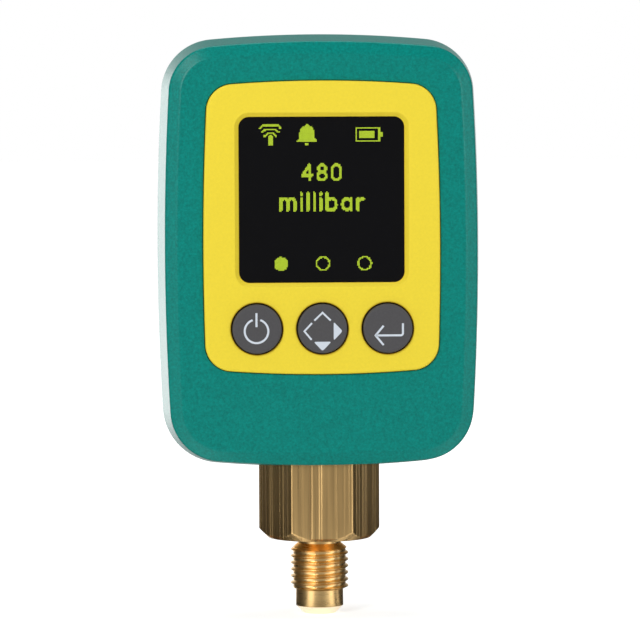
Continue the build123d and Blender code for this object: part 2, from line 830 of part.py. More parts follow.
# Vacuum adapter: a hexagon with a turned shoulder, the flare nose and thread, and the spigot
with BuildPart() as vacuum_adapter:
    with BuildSketch(Plane.XY.offset(hex_base)):
        RegularPolygon(hex_across_flats / 2, 6, major_radius=False)
    extrude(amount=hex_top - hex_base)
    corner_x = hex_corner_radius - hex_corner_break
    with BuildSketch(Plane.XZ):
        with BuildLine():
            shoulder_foot = (neck_radius, hex_base)
            shoulder_edge = (shoulder_radius, hex_base + shoulder_rise)
            side_foot = (corner_x, hex_base + hex_shoulder_rise)
            Polyline((0, hex_top), (0, hex_base), shoulder_foot, shoulder_edge)
            TangentArc(
                shoulder_edge,
                side_foot,
                tangent=(shoulder_radius - neck_radius, shoulder_rise),
            )
            Polyline(side_foot, (corner_x, hex_top), (0, hex_top))
        make_face()
    revolve(axis=Axis.Z, mode=Mode.INTERSECT)
    with BuildSketch(Plane.XZ):
        with BuildLine():
            Polyline(
                (0, cone_end),
                (cone_end_radius, cone_end),
                (nose_radius, -nose_length),
                (nose_radius, 0),
                (thread_radius, thread_end_rise),
                (thread_radius, thread_length - thread_entry),
                (neck_radius, thread_length),
                (neck_radius, hex_base + shoulder_rise),
                (0, hex_base + shoulder_rise),
                close=True,
            )
        make_face()
    revolve(axis=Axis.Z)
    flange_top = flange_base + flange_thickness
    with BuildSketch(Plane.XZ):
        with BuildLine():
            Polyline(
                (0, hex_top - shoulder_rise),
                (spigot_radius, hex_top - shoulder_rise),
                (spigot_radius, flange_base),
                (flange_radius, flange_base),
                (flange_radius, flange_top),
                (spigot_radius, flange_top),
                (spigot_radius, spigot_top),
                (0, spigot_top),
                close=True,
            )
        make_face()
    revolve(axis=Axis.Z)
    with BuildSketch(Plane.XY.offset(cone_end)):
        Circle(bore_radius)
    extrude(amount=socket_base - cone_end, mode=Mode.SUBTRACT)
    with BuildSketch(Plane.XY.offset(socket_base)):
        Circle(socket_radius)
    extrude(amount=spigot_top - socket_base, mode=Mode.SUBTRACT)
save(vacuum_adapter, "vacuum_adapter")

# Sensor seal, at the bottom of the adapter's socket
with BuildPart() as sensor_seal:
    with BuildSketch(Plane.XY.offset(socket_base)):
        Circle(sensor_radius)
        Circle(sensor_seal_bore, mode=Mode.SUBTRACT)
    extrude(amount=sensor_seal_thickness)
save(sensor_seal, "sensor_seal")

# Sensor can: a sealed can with a gas inlet below and four pins above
with BuildPart() as sensor_can:
    with BuildSketch(Plane.XZ):
        with BuildLine():
            Polyline(
                (0, sensor_base + sensor_inlet_depth),
                (sensor_inlet_radius, sensor_base + sensor_inlet_depth),
                (sensor_inlet_radius, sensor_base),
                (sensor_radius, sensor_base),
                (sensor_radius, spigot_top),
                (sensor_flange_radius, spigot_top),
                (sensor_flange_radius, spigot_top + sensor_flange),
                (sensor_head_radius, spigot_top + sensor_flange),
                (sensor_head_radius, sensor_top),
                (0, sensor_top),
                close=True,
            )
        make_face()
    revolve(axis=Axis.Z)
    with BuildSketch(Plane.XY.offset(sensor_top)):
        with PolarLocations(pin_circle_radius, 4, start_angle=45):
            Circle(pin_radius)
    extrude(amount=sensor_board_gap + sensor_board_thickness + pin_radius)
save(sensor_can, "sensor_can")

# Sensor nut: clamps the can's flange on the spigot
with BuildPart() as sensor_nut:
    nut_seat = spigot_top + sensor_flange
    with BuildSketch(Plane.XY.offset(sensor_nut_base)):
        RegularPolygon(sensor_nut_across_flats / 2, 6, major_radius=False)
        Circle(spigot_radius + thread_play, mode=Mode.SUBTRACT)
    extrude(amount=nut_seat - sensor_nut_base)
    with BuildSketch(Plane.XY.offset(nut_seat)):
        RegularPolygon(sensor_nut_across_flats / 2, 6, major_radius=False)
        Circle(sensor_head_radius + display_fit, mode=Mode.SUBTRACT)
    extrude(amount=sensor_nut_lip)
save(sensor_nut, "sensor_nut")

# Sensor board, on the can's pins
with BuildPart() as sensor_board:
    with BuildSketch(Plane.XY.offset(sensor_board_base)):
        Rectangle(sensor_board_width, sensor_board_depth)
        with PolarLocations(pin_circle_radius, 4, start_angle=45):
            Circle(pin_hole_radius, mode=Mode.SUBTRACT)
    extrude(amount=sensor_board_thickness)
save(sensor_board, "sensor_board")

# Sensor connector on the circuit board, and the ribbon that joins it to the sensor board
sensor_connector_base = sensor_board_top + 2 * sensor_connector_size[2]
sensor_ribbon_y = board_back + sensor_connector_size[2] / 2
with BuildPart() as sensor_connector:
    with BuildSketch(facing(board_back, sensor_connector_base + sensor_connector_size[1] / 2)):
        Rectangle(sensor_connector_size[0], sensor_connector_size[1])
    extrude(amount=-sensor_connector_size[2])
save(sensor_connector, "sensor_connector")

with BuildPart() as sensor_ribbon:
    with BuildSketch(Plane.YZ):
        with BuildLine():
            FilletPolyline(
                (sensor_ribbon_start, sensor_board_top + ribbon_thickness / 2),
                (sensor_ribbon_y, sensor_board_top + ribbon_thickness / 2),
                (sensor_ribbon_y, sensor_connector_base),
                radius=ribbon_bend,
            )
        trace(line_width=ribbon_thickness)
    extrude(amount=sensor_ribbon_width / 2, both=True)
save(sensor_ribbon, "sensor_ribbon")

# Battery leads, from the contacts' tabs to the circuit board
for lead_name, lead_x in {"red_lead": -tab_x, "black_lead": tab_x}.items():
    with BuildPart() as lead:
        with BuildLine() as lead_path:
            FilletPolyline(
                (lead_x, tab_end, contact_z),
                (lead_x, lead_depth, contact_z),
                (lead_x, lead_depth, contact_z - lead_end_drop),
                (lead_x, board_back, contact_z - lead_end_drop),
                radius=lead_bend,
            )
        with BuildSketch(facing(tab_end, contact_z, lead_x)):
            Circle(lead_radius)
        sweep(path=lead_path.wires()[0])
    save(lead, lead_name)
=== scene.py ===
import bmesh
import bpy
import numpy as np
from mathutils import Matrix, Vector, geometry


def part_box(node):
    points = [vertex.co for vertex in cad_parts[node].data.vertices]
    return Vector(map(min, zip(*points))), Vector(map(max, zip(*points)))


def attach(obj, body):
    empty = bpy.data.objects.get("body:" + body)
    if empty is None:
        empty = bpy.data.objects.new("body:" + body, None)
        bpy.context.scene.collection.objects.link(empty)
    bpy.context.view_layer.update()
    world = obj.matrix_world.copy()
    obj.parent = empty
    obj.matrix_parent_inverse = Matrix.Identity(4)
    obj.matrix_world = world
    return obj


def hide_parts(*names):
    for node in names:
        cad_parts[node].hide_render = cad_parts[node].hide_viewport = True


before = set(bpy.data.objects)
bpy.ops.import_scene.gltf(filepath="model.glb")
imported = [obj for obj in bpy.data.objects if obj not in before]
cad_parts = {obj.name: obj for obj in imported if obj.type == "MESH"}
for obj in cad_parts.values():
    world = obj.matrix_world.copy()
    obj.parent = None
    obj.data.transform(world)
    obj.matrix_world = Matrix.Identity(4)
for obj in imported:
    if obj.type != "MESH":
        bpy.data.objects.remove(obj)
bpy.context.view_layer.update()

# Sizes are in millimetres, in the part's own frame: +Z is up, +X is right and the display faces -Y.
MM = 0.001

# Housing
housing_width = 61.0
housing_height = 82.0
housing_middle = 64.4
side_bulge_radius = 530.0
end_bulge_radius = 225.0
top_corner_radius = 10.2
bottom_corner_radius = 11.0
wall = 2.2
front_depth = -13.0
front_edge = -12.0
bevel_width = 2.2
draft_inset = 1.3
top_extra_draft = 0.2
inner_front = -11.2
rear_depth = 14.5
rear_edge = 12.9
rear_bevel_width = 1.8
inner_rear = 12.5
edge_softness = 0.32
parting_softness = 0.25

# Front panel and display window
panel_width = 44.2
panel_height = 54.7
panel_middle = 69.2
panel_corner_radius = 5.0
panel_gap = 0.12
panel_front = -13.7
recess_depth = -11.5
floor_back = -10.2
bed_width = 1.3
window_size = 30.9
window_middle = 74.4
window_corner_radius = 2.0
window_bevel = 0.8
lens_front = -12.7
lens_back = -11.8
lens_overlap = 1.0
view_size = 28.4

# Keys
key_middle = 50.4
key_pitch = 12.2
key_radius = 4.6
key_hole_radius = 4.82
key_flange_radius = 5.5
key_flange_front = -10.15
key_flange_back = -9.35
key_front = -14.53
key_places = {"power": -key_pitch, "arrow": 0.0, "enter": key_pitch}

# Back of the housing
boss_x = 21.9
boss_heights = (32.0, 96.8)
boss_radius = 3.9
counterbore_radius = 2.95
screw_hole_radius = 1.7
screw_seat = 9.1
door_width = 25.7
door_base = 39.6
door_top = 97.4
door_gap = 0.2
door_corner_radius = 1.9
door_seat = 12.7
bay_width = 21.9
bay_base = 47.6
bay_top = 95.5
bay_wall = 2.3
bay_floor = 1.6
bay_front = 0.5
seat_base = 37.3
seat_front = 10.5
insert_radius = 2.3
insert_boss_radius = 3.4
insert_floor = 7.8
insert_boss_front = 6.7
door_screw_height = 43.2

# Brass adapter
hex_across_flats = 20.0
hex_corner_softness = 0.5
hex_top = 25.6
neck_radius = 4.04
neck_base = 8.9
shoulder_radius = 9.75
shoulder_height = 9.95
shoulder_slope = 0.98
thread_radius = 5.53
thread_pitch = 1.27
thread_depth = 0.55
thread_crest = 0.14
thread_softness = 0.07
thread_crest_height = 3.135
thread_entry = 1.2
thread_end_rise = 0.5
nose_radius = 4.5
nose_length = 3.12
cone_end_radius = 3.05
bore_radius = 2.4
spigot_radius = 6.25
spigot_top = 36.0
flange_radius = 8.2
flange_base = 28.4
flange_top = 30.6
socket_radius = 4.6
socket_base = 29.5

# Studio: what each surface gives off, where 1 is white, and the lamps' power in watts
floor_glow = (0.1, 0.9, 0.6, 0.76)
room_light = 0.33
key_power = 3.0
fill_power = 1.9
top_power = 4.2
# The reflector's level at each azimuth in degrees, from the front towards the right
reflector_levels = [
    (-180, 1.1),
    (-172, 1.6),
    (-165, 3.0),
    (-154, 2.4),
    (-147, 0.7),
    (-138, 0.12),
    (-110, 0.1),
    (-80, 0.06),
    (-62, 0.1),
    (-54, 0.9),
    (-34, 1.0),
    (-26, 0.24),
    (10, 0.2),
    (38, 0.22),
    (46, 0.9),
    (60, 0.9),
    (68, 0.06),
    (82, 0.05),
    (86, 0.9),
    (93, 0.9),
    (97, 0.06),
    (138, 0.1),
    (150, 0.7),
    (165, 1.1),
    (180, 1.1),
]
# How the level fades with elevation in degrees, in front of the object and behind it
front_fade = [(-84, 0.5), (-72, 2.0), (-45, 2.0), (-20, 1.2), (5, 1.0), (14, 0.35), (60, 0.1)]
back_fade = [(-60, 0.5), (-22, 0.2), (-12, 1.0), (5, 1.0), (12, 0.25), (60, 0.1)]

# Marks on the display and the keys
display_pitch = 0.22
display_cells = 128
dot_size = 0.205
mark_thickness = 0.02
symbol_width = 0.38

points_per_arc = 20


def arc_loop(arcs, count=points_per_arc):
    """A closed outline made of arcs, given as (centre across, centre up, radius, first angle, last angle).

    Each point is centre + radius * (cos angle, sin angle), and its outward normal is (cos angle, sin angle),
    so the outline moved in by a distance is point - distance * normal.
    """
    table = np.array(arcs, float)
    share = np.arange(count) / count
    angle = table[:, 3:4] + (table[:, 4:5] - table[:, 3:4]) * share
    normal = np.stack([np.cos(angle), np.sin(angle)], -1)
    point = table[:, None, :2] + table[:, None, 2:3] * normal
    return point.reshape(-1, 2), normal.reshape(-1, 2)


def corner_arc(side_centre, side_radius, end_centre, end_radius, corner_radius):
    """Centre and two angles of the arc that rounds the corner between a side disc and an end disc.

    Its centre is as far from each disc's centre as the disc's radius less the corner's own radius.
    """
    to_side = side_radius - corner_radius
    to_end = end_radius - corner_radius
    span = np.hypot(side_centre, end_centre)
    along = (to_side**2 - to_end**2 + span**2) / (2 * span)
    aside = np.sqrt(to_side**2 - along**2)
    way = np.array([-side_centre, end_centre]) / span
    across = np.array([-way[1], way[0]])
    start = np.array([side_centre, 0.0]) + along * way
    found = max((start + aside * across, start - aside * across), key=lambda p: p.min())
    first = np.arctan2(found[1], found[0] - side_centre)
    last = np.arctan2(found[1] - end_centre, found[0])
    return found[0], found[1], first, last


def bulged_loop(
    width, height, side_radius, end_radius, top_radius, bottom_radius, side_level=0.0
):
    """A rectangle with bulged sides and ends: four large discs' common area, with rounded corners.

    The sides bulge most at side_level above the outline's own middle.
    """
    side = width / 2 - side_radius
    end = height / 2 - end_radius
    top_x, top_z, top_a, top_b = corner_arc(
        side, side_radius, end - side_level, end_radius, top_radius
    )
    low_x, low_z, low_a, low_b = corner_arc(
        side, side_radius, end + side_level, end_radius, bottom_radius
    )
    top_z, low_z = side_level + top_z, side_level - low_z
    half = np.pi
    return arc_loop(
        [
            (side, side_level, side_radius, -low_a, top_a),
            (top_x, top_z, top_radius, top_a, top_b),
            (0, end, end_radius, top_b, half - top_b),
            (-top_x, top_z, top_radius, half - top_b, half - top_a),
            (-side, side_level, side_radius, half - top_a, half + low_a),
            (-low_x, low_z, bottom_radius, half + low_a, half + low_b),
            (0, -end, end_radius, half + low_b, 2 * half - low_b),
            (low_x, low_z, bottom_radius, 2 * half - low_b, 2 * half - low_a),
        ]
    )


def box_loop(width, height, corner_radius):
    """A rectangle with rounded corners, as a bulged one whose bulge is too small to measure"""
    flat = 1e5
    return bulged_loop(width, height, flat, flat, corner_radius, corner_radius)


def round_loop(radius):
    """A circle with as many points as the other outlines"""
    return arc_loop([(0, 0, radius, 0, 2 * np.pi)], 4 * points_per_arc)


def ring(loop, middle, depth, inset=0.0):
    """The outline in the plane Y = depth, moved to its middle and moved in by inset: (x, depth, z)"""
    point, normal = loop
    flat = point - inset * normal + np.array(middle)
    return np.stack([flat[:, 0], np.full(len(flat), depth), flat[:, 1]], -1)


def level(radius, direction, height):
    """A level ring round the Z axis: radius * direction, at a height"""
    flat = np.broadcast_to(np.asarray(radius, float).reshape(-1, 1) * direction, direction.shape)
    return np.column_stack([flat, np.full(len(flat), 0.0) + height])


def softened(points, reach, steps=5):
    """A profile whose inner corners are curves: each runs from a distance before the corner to as far after it.

    The curve is (1 - t)^2 * start + 2 t (1 - t) * corner + t^2 * end. A flat guard point follows each curve,
    so that smooth shading stays on the curve.
    """
    points = np.array(points, float)
    reach = np.broadcast_to(reach, len(points) - 2)
    t = np.linspace(0, 1, steps)[:, None]
    found = [points[:1]]
    for before, corner, after, size in zip(points[:-2], points[1:-1], points[2:], reach):
        back = (before - corner) / np.linalg.norm(before - corner)
        ahead = (after - corner) / np.linalg.norm(after - corner)
        size = min(
            size,
            0.4 * np.linalg.norm(before - corner),
            0.4 * np.linalg.norm(after - corner),
        )
        curve = (
            (1 - t) ** 2 * (corner + size * back)
            + 2 * t * (1 - t) * corner
            + t**2 * (corner + size * ahead)
        )
        guard = 0.2 * size
        found += [corner + (size + guard) * back, curve, corner + (size + guard) * ahead]
    found.append(points[-1:])
    return np.vstack([np.atleast_2d(f) for f in found])


class Skin:
    """Collects the sheets of one piece: grids between rings, and flat faces with holes"""

    def __init__(self):
        self.points = []
        self.quads = []
        self.triangles = []
        self.count = 0

    def keep(self, points, faces):
        """Adds a sheet's points and its faces, which are all quads or all triangles"""
        (self.quads if faces.shape[1] == 4 else self.triangles).append(faces + self.count)
        self.points.append(points)
        self.count += len(points)

    def strip(self, rings):
        """A grid of quads between rings of equal length, each quad joining i and i + 1 on two rings"""
        rings = np.array(rings)
        rows, columns = rings.shape[:2]
        index = np.arange(rows * columns).reshape(rows, columns)
        beside = np.roll(index, -1, axis=1)
        quads = np.stack([index[:-1], beside[:-1], beside[1:], index[1:]], -1)
        self.keep(rings.reshape(-1, 3), quads.reshape(-1, 4))

    def profile(self, loop, middle, stations):
        """A profile of (inset, depth) stations carried round an outline"""
        self.strip([ring(loop, middle, depth, inset) for inset, depth in stations])

    def face(self, outer, holes=(), forward=True):
        """A flat face at one depth, between an outer ring and its holes, that looks forward or back"""
        rings = [r[:, [0, 2]] for r in (outer, *holes)]
        starts = np.cumsum([0] + [len(r) for r in rings])
        edges = [np.arange(a, b) for a, b in zip(starts[:-1], starts[1:])]
        edges = np.vstack([np.stack([e, np.roll(e, -1)], -1) for e in edges])
        corners, _, triangles, *_ = geometry.delaunay_2d_cdt(
            np.vstack(rings).tolist(), edges.tolist(), [], 1, 1e-6, False
        )
        corners, triangles = np.array(corners), np.array(triangles)
        middle = corners[triangles].mean(1)
        kept = inside(middle, rings[0])
        for hole in rings[1:]:
            kept &= ~inside(middle, hole)
        triangles = triangles[kept]
        a, b, c = (corners[triangles[:, k]] for k in range(3))
        turn = (b - a)[:, 0] * (c - a)[:, 1] - (b - a)[:, 1] * (c - a)[:, 0]
        triangles = np.where(((turn > 0) == forward)[:, None], triangles, triangles[:, ::-1])
        depth = np.full(len(corners), outer[0, 1])
        self.keep(np.stack([corners[:, 0], depth, corners[:, 1]], -1), triangles)

    def piece(self, name, body, material, sharp_degrees=32.0):
        """The finished piece: its sheets joined where they meet, smooth except over sharp edges"""
        faces = [f.tolist() for group in (self.quads, self.triangles) for f in group]
        mesh = bpy.data.meshes.new(name)
        mesh.from_pydata(np.vstack(self.points) * MM, [], sum(faces, []))
        work = bmesh.new()
        work.from_mesh(mesh)
        bmesh.ops.remove_doubles(work, verts=work.verts, dist=0.0005 * MM)
        work.to_mesh(mesh)
        work.free()
        mesh.polygons.foreach_set("use_smooth", np.ones(len(mesh.polygons), bool))
        mesh.set_sharp_from_angle(angle=np.radians(sharp_degrees))
        mesh.materials.append(material)
        made = bpy.data.objects.new(name, mesh)
        bpy.context.scene.collection.objects.link(made)
        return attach(made, body)


def inside(points, polygon):
    """Which points lie inside a polygon: those with an odd number of its edges to their right"""
    a, b = polygon, np.roll(polygon, -1, axis=0)
    x, y = points[:, :1], points[:, 1:]
    crosses = (a[:, 1] > y) != (b[:, 1] > y)
    rise = np.where(b[:, 1] == a[:, 1], 1.0, b[:, 1] - a[:, 1])
    at = a[:, 0] + (y - a[:, 1]) * (b[:, 0] - a[:, 0]) / rise
    return (crosses & (x < at)).sum(1) % 2 == 1


# Materials


def finish(name, colour, **sockets):
    """A Principled material with its plain numbers set on its own sockets"""
    material = bpy.data.materials.new(name)
    material.use_nodes = True
    shader = material.node_tree.nodes["Principled BSDF"]
    shader.inputs["Base Color"].default_value = (*colour, 1)
    for socket, value in sockets.items():
        shader.inputs[socket.replace("_", " ")].default_value = value
    return material


def colour(red, green, blue):
    """Scene colour of a display colour from 0 to 255, by the display's own curve"""
    share = np.array([red, green, blue]) / 255
    return tuple(np.where(share > 0.04045, ((share + 0.055) / 1.055) ** 2.4, share / 12.92))


def node(material, kind, **values):
    """A node with its settings and its plain socket values"""
    made = material.node_tree.nodes.new(kind)
    for key, value in values.items():
        if hasattr(made, key):
            setattr(made, key, value)
        else:
            made.inputs[key.replace("_", " ")].default_value = value
    return made


def pattern(material, scale, detail=2.0, roughness=0.5, stretch=(1, 1, 1)):
    """Noise on the piece's own coordinates, stretched along its axes"""
    links = material.node_tree.links
    place = node(material, "ShaderNodeTexCoord")
    turn = node(material, "ShaderNodeMapping", Scale=stretch)
    noise = node(
        material, "ShaderNodeTexNoise", Scale=scale, Detail=detail, Roughness=roughness
    )
    links.new(place.outputs["Object"], turn.inputs["Vector"])
    links.new(turn.outputs["Vector"], noise.inputs["Vector"])
    return noise.outputs["Fac"]


def tinted(material, fac, stops, socket="Base Color"):
    """Drives a socket from a pattern through colour stops of (place, colour)"""
    links = material.node_tree.links
    ramp = node(material, "ShaderNodeValToRGB")
    parts = ramp.color_ramp.elements
    while len(parts) < len(stops):
        parts.new(0.5)
    for part, (at, shade) in zip(parts, stops):
        part.position = at
        part.color = (*shade, 1) if np.ndim(shade) else (shade, shade, shade, 1)
    links.new(fac, ramp.inputs["Fac"])
    shader = material.node_tree.nodes["Principled BSDF"]
    links.new(ramp.outputs["Color"], shader.inputs[socket])
    return material


def raised(material, fac, distance, strength=1.0):
    """Bumps a material by a pattern, with its full height in millimetres"""
    links = material.node_tree.links
    bump = node(material, "ShaderNodeBump", Strength=strength, Distance=distance * MM)
    links.new(fac, bump.inputs["Height"])
    shader = material.node_tree.nodes["Principled BSDF"]
    links.new(bump.outputs["Normal"], shader.inputs["Normal"])
    return material


def shade(base, share):
    """A colour made lighter or darker by a share"""
    return tuple(min(1.0, part * share) for part in base)


def moulded(name, base, grain, depth, roughness, spread=0.12, **sockets):
    """Moulded plastic: a fine eroded grain with a slight mottle of its own colour"""
    sockets.setdefault("Specular_IOR_Level", 0.14)
    material = finish(name, base, Roughness=roughness, **sockets)
    mottle = pattern(material, grain * 0.45, 3.0, 0.7)
    tinted(
        material,
        mottle,
        [(0.3, shade(base, 1 - spread)), (0.5, base), (0.7, shade(base, 1 + spread))],
    )
    return raised(material, pattern(material, grain, 2.0, 0.6), depth)


def paint_shade_by_depth(material, shade_colour, front, back):
    """Mixes a painted shade colour in from one depth to another, darker towards the back of a hollow"""
    tree = material.node_tree
    shader = tree.nodes["Principled BSDF"]
    own = shader.inputs["Base Color"].links[0].from_socket
    place = node(material, "ShaderNodeTexCoord")
    axes = node(material, "ShaderNodeSeparateXYZ")
    share = node(material, "ShaderNodeMapRange")
    share.inputs["From Min"].default_value = front * MM
    share.inputs["From Max"].default_value = back * MM
    blend = node(material, "ShaderNodeMix", data_type="RGBA")
    blend.inputs["B"].default_value = (*shade_colour, 1)
    tree.links.new(place.outputs["Object"], axes.inputs["Vector"])
    tree.links.new(axes.outputs["Y"], share.inputs["Value"])
    tree.links.new(share.outputs["Result"], blend.inputs["Factor"])
    tree.links.new(own, blend.inputs["A"])
    tree.links.new(blend.outputs["Result"], shader.inputs["Base Color"])


def scored(material, scale, stretch, depth):
    """Adds a few fine lines: where a stretched noise crosses its middle value, the surface rises by a depth"""
    tree = material.node_tree
    shader = tree.nodes["Principled BSDF"]
    below = shader.inputs["Normal"].links[0].from_socket
    ramp = node(material, "ShaderNodeValToRGB")
    parts = ramp.color_ramp.elements
    parts.new(0.5)
    for part, (at, shade_level) in zip(parts, ((0.485, 0), (0.5, 1), (0.515, 0))):
        part.position = at
        part.color = (shade_level, shade_level, shade_level, 1)
    tree.links.new(pattern(material, scale, 1.0, 0.5, stretch), ramp.inputs["Fac"])
    bump = node(material, "ShaderNodeBump", Distance=depth * MM)
    tree.links.new(ramp.outputs["Color"], bump.inputs["Height"])
    tree.links.new(below, bump.inputs["Normal"])
    tree.links.new(bump.outputs["Normal"], shader.inputs["Normal"])


def drawn_metal(name, base, roughness, streaks, stretch, depth, spread=0.2, **sockets):
    """Metal with tool marks: noise stretched along the marks varies its colour, gloss and height"""
    material = finish(name, base, Metallic=1.0, **sockets)
    marks = pattern(material, streaks, 4.0, 0.6, stretch)
    tinted(material, marks, [(0.3, shade(base, 1 - spread)), (0.7, shade(base, 1 + spread))])
    tinted(material, marks, [(0.25, roughness * 0.8), (0.75, roughness * 1.25)], "Roughness")
    return raised(material, marks, depth)


green = moulded(
    "grained_green", colour(0, 132, 122), 5200, 0.018, 0.28, 0.24, Specular_IOR_Level=0.22
)
green_inside = moulded(
    "grained_green_rear", colour(0, 128, 118), 5200, 0.018, 0.28, 0.2, Specular_IOR_Level=0.22
)
yellow = moulded("satin_yellow", colour(247, 222, 62), 4200, 0.012, 0.42, 0.03)
# Painted shade: from 0.7 mm behind the panel's face the yellow turns to a darker orange, deep in the window's
# slope and down the panel's edges
paint_shade_by_depth(yellow, colour(250, 180, 30), panel_front + 0.7, panel_front + 0.95)
# Painted shadow: round the key holes the yellow is painted orange-brown towards the back, standing in for the
# keys' contact shadow
yellow_painted_key_shadow = moulded("amber_painted_key_shadow", colour(247, 222, 62), 4200, 0.012, 0.42, 0.03)
paint_shade_by_depth(yellow_painted_key_shadow, colour(214, 130, 10), panel_front + 0.005, panel_front + 0.3)
key_grey = moulded("key_grey", colour(84, 83, 85), 5200, 0.012, 0.5, 0.06)
lens_black = moulded("lens_black", colour(15, 15, 17), 600, 0.0004, 0.16, 0.04)
lime = moulded("display_lime", colour(186, 214, 52), 900, 0.0002, 0.5, 0.03)
symbol_print = moulded("symbol_print", colour(214, 222, 232), 4000, 0.002, 0.5, 0.02)
brass_hex = drawn_metal(
    "drawn_brass", (0.88, 0.57, 0.235), 0.30, 1500, (1, 1, 0.015), 0.014, 0.16
)
scored(brass_hex, 420, (1, 1, 0.004), 0.05)
brass_turned = drawn_metal(
    "turned_brass", (0.92, 0.62, 0.265), 0.29, 1500, (0.1, 0.1, 1), 0.001, 0.06
)
# Painted reflection: the cone's paler cream colour stands in for the white floor reflected in it
brass_cone_painted_reflection = drawn_metal("cone_painted_reflection", (1.0, 0.84, 0.62), 0.3, 1500, (0.1, 0.1, 1), 0.001, 0.03)
steel = drawn_metal("screw_steel", (0.42, 0.42, 0.44), 0.32, 2000, (1, 1, 1), 0.003, 0.1)
bright_metal = drawn_metal("bright_metal", (0.75, 0.75, 0.73), 0.25, 1500, (1, 1, 1), 0.002, 0.06)
rubber = moulded("seal_rubber", colour(34, 34, 35), 3000, 0.01, 0.75, 0.1)
black_plastic = moulded("black_plastic", colour(36, 36, 38), 3500, 0.01, 0.55, 0.08)
white_plastic = moulded("white_plastic", colour(224, 223, 216), 3500, 0.008, 0.5, 0.03)
cream_plastic = moulded("connector_cream", colour(222, 214, 190), 3500, 0.008, 0.5, 0.03)
board_green = moulded("board_green", colour(20, 92, 56), 1800, 0.006, 0.35, 0.15)
ribbon_film = moulded("ribbon_film", colour(186, 112, 38), 1500, 0.002, 0.3, 0.06)
ceramic = moulded("capacitor_ceramic", colour(160, 130, 96), 2500, 0.004, 0.5, 0.08)
display_glass = moulded("display_glass", colour(30, 34, 33), 700, 0.0005, 0.12, 0.05)
cell_jacket = moulded("cell_jacket", colour(58, 62, 72), 900, 0.001, 0.3, 0.05)
lead_red = moulded("lead_red", colour(186, 32, 26), 3000, 0.004, 0.45, 0.06)
lead_black = moulded("lead_black", colour(30, 30, 31), 3000, 0.004, 0.45, 0.06)

node_finishes = {
    "battery_door": green,
    "housing_screws": steel,
    "door_screw": steel,
    "board_screws": steel,
    "cover_inserts": brass_turned,
    "door_insert": brass_turned,
    "sensor_nut": brass_turned,
    "housing_seal": rubber,
    "door_seal": rubber,
    "sensor_seal": rubber,
    "window_tape": black_plastic,
    "display_panel": display_glass,
    "display_holder": white_plastic,
    "display_ribbon": ribbon_film,
    "sensor_ribbon": ribbon_film,
    "display_connector": cream_plastic,
    "sensor_connector": cream_plastic,
    "circuit_board": board_green,
    "sensor_board": board_green,
    "processor_chip": black_plastic,
    "buzzer": black_plastic,
    "radio_module": bright_metal,
    "capacitors": ceramic,
    "sensor_can": bright_metal,
    "left_cell": cell_jacket,
    "right_cell": cell_jacket,
    "positive_contact": bright_metal,
    "negative_contact": bright_metal,
    "bridge_contact": bright_metal,
    "red_lead": lead_red,
    "black_lead": lead_black,
}
for key_name in key_places:
    node_finishes[f"{key_name}_switch"] = black_plastic
    node_finishes[f"{key_name}_plunger"] = black_plastic
for node_name, material in node_finishes.items():
    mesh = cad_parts[node_name].data
    mesh.materials.clear()
    mesh.materials.append(material)

# Outlines
housing = bulged_loop(
    housing_width,
    housing_height,
    side_bulge_radius,
    end_bulge_radius,
    top_corner_radius,
    bottom_corner_radius,
)
panel = bulged_loop(
    panel_width,
    panel_height,
    side_bulge_radius,
    end_bulge_radius,
    panel_corner_radius,
    panel_corner_radius,
    housing_middle - panel_middle,
)
housing_at = (0, housing_middle)
panel_at = (0, panel_middle)
window_at = (0, window_middle)
key_hole = round_loop(key_hole_radius)


def drafted(depth):
    """How far the side walls have come in at a depth, in proportion to it"""
    return draft_inset * abs(depth) / abs(front_edge)


# Front cover: one profile goes from inside the bed round the walls to the recess's floor
front = Skin()
guard = 0.05
bed = ring(panel, panel_at, floor_back, guard - bed_width)
inner_inset = wall + drafted(inner_front)
bevel_inset = draft_inset + bevel_width
outside = softened(
    [(wall, 0), (0, 0), (draft_inset, front_edge), (bevel_inset, front_depth), (4.2, front_depth)],
    (parting_softness, edge_softness, 0.9 * edge_softness),
)
recess_rim = softened(
    [(-0.8, front_depth), (-panel_gap, front_depth), (-panel_gap, recess_depth)], 0.15
)
upward = top_extra_draft * np.maximum(housing[1][:, 1:], 0) ** 2
front.strip(
    [bed]
    + [ring(panel, panel_at, d, i - bed_width) for d, i in ((floor_back, 0), (inner_front, 0))]
    + [ring(housing, housing_at, inner_front, inner_inset)]
    + [ring(housing, housing_at, d, i + upward * abs(d / front_edge)) for i, d in outside]
    + [ring(panel, panel_at, d, i) for i, d in recess_rim]
)
view = box_loop(view_size, view_size, window_corner_radius)
openings = [(view, window_at)] + [(key_hole, (x, key_middle)) for x in key_places.values()]
recess_floor = ring(panel, panel_at, recess_depth, -panel_gap)
front.face(recess_floor, [ring(loop, at, recess_depth) for loop, at in openings])
front.face(bed, [ring(loop, at, floor_back) for loop, at in openings], forward=False)
for loop, at in openings:
    front.strip([ring(loop, at, recess_depth), ring(loop, at, floor_back)])
front_cover = front.piece("front_cover_skin", "housing", green)
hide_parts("front_cover")

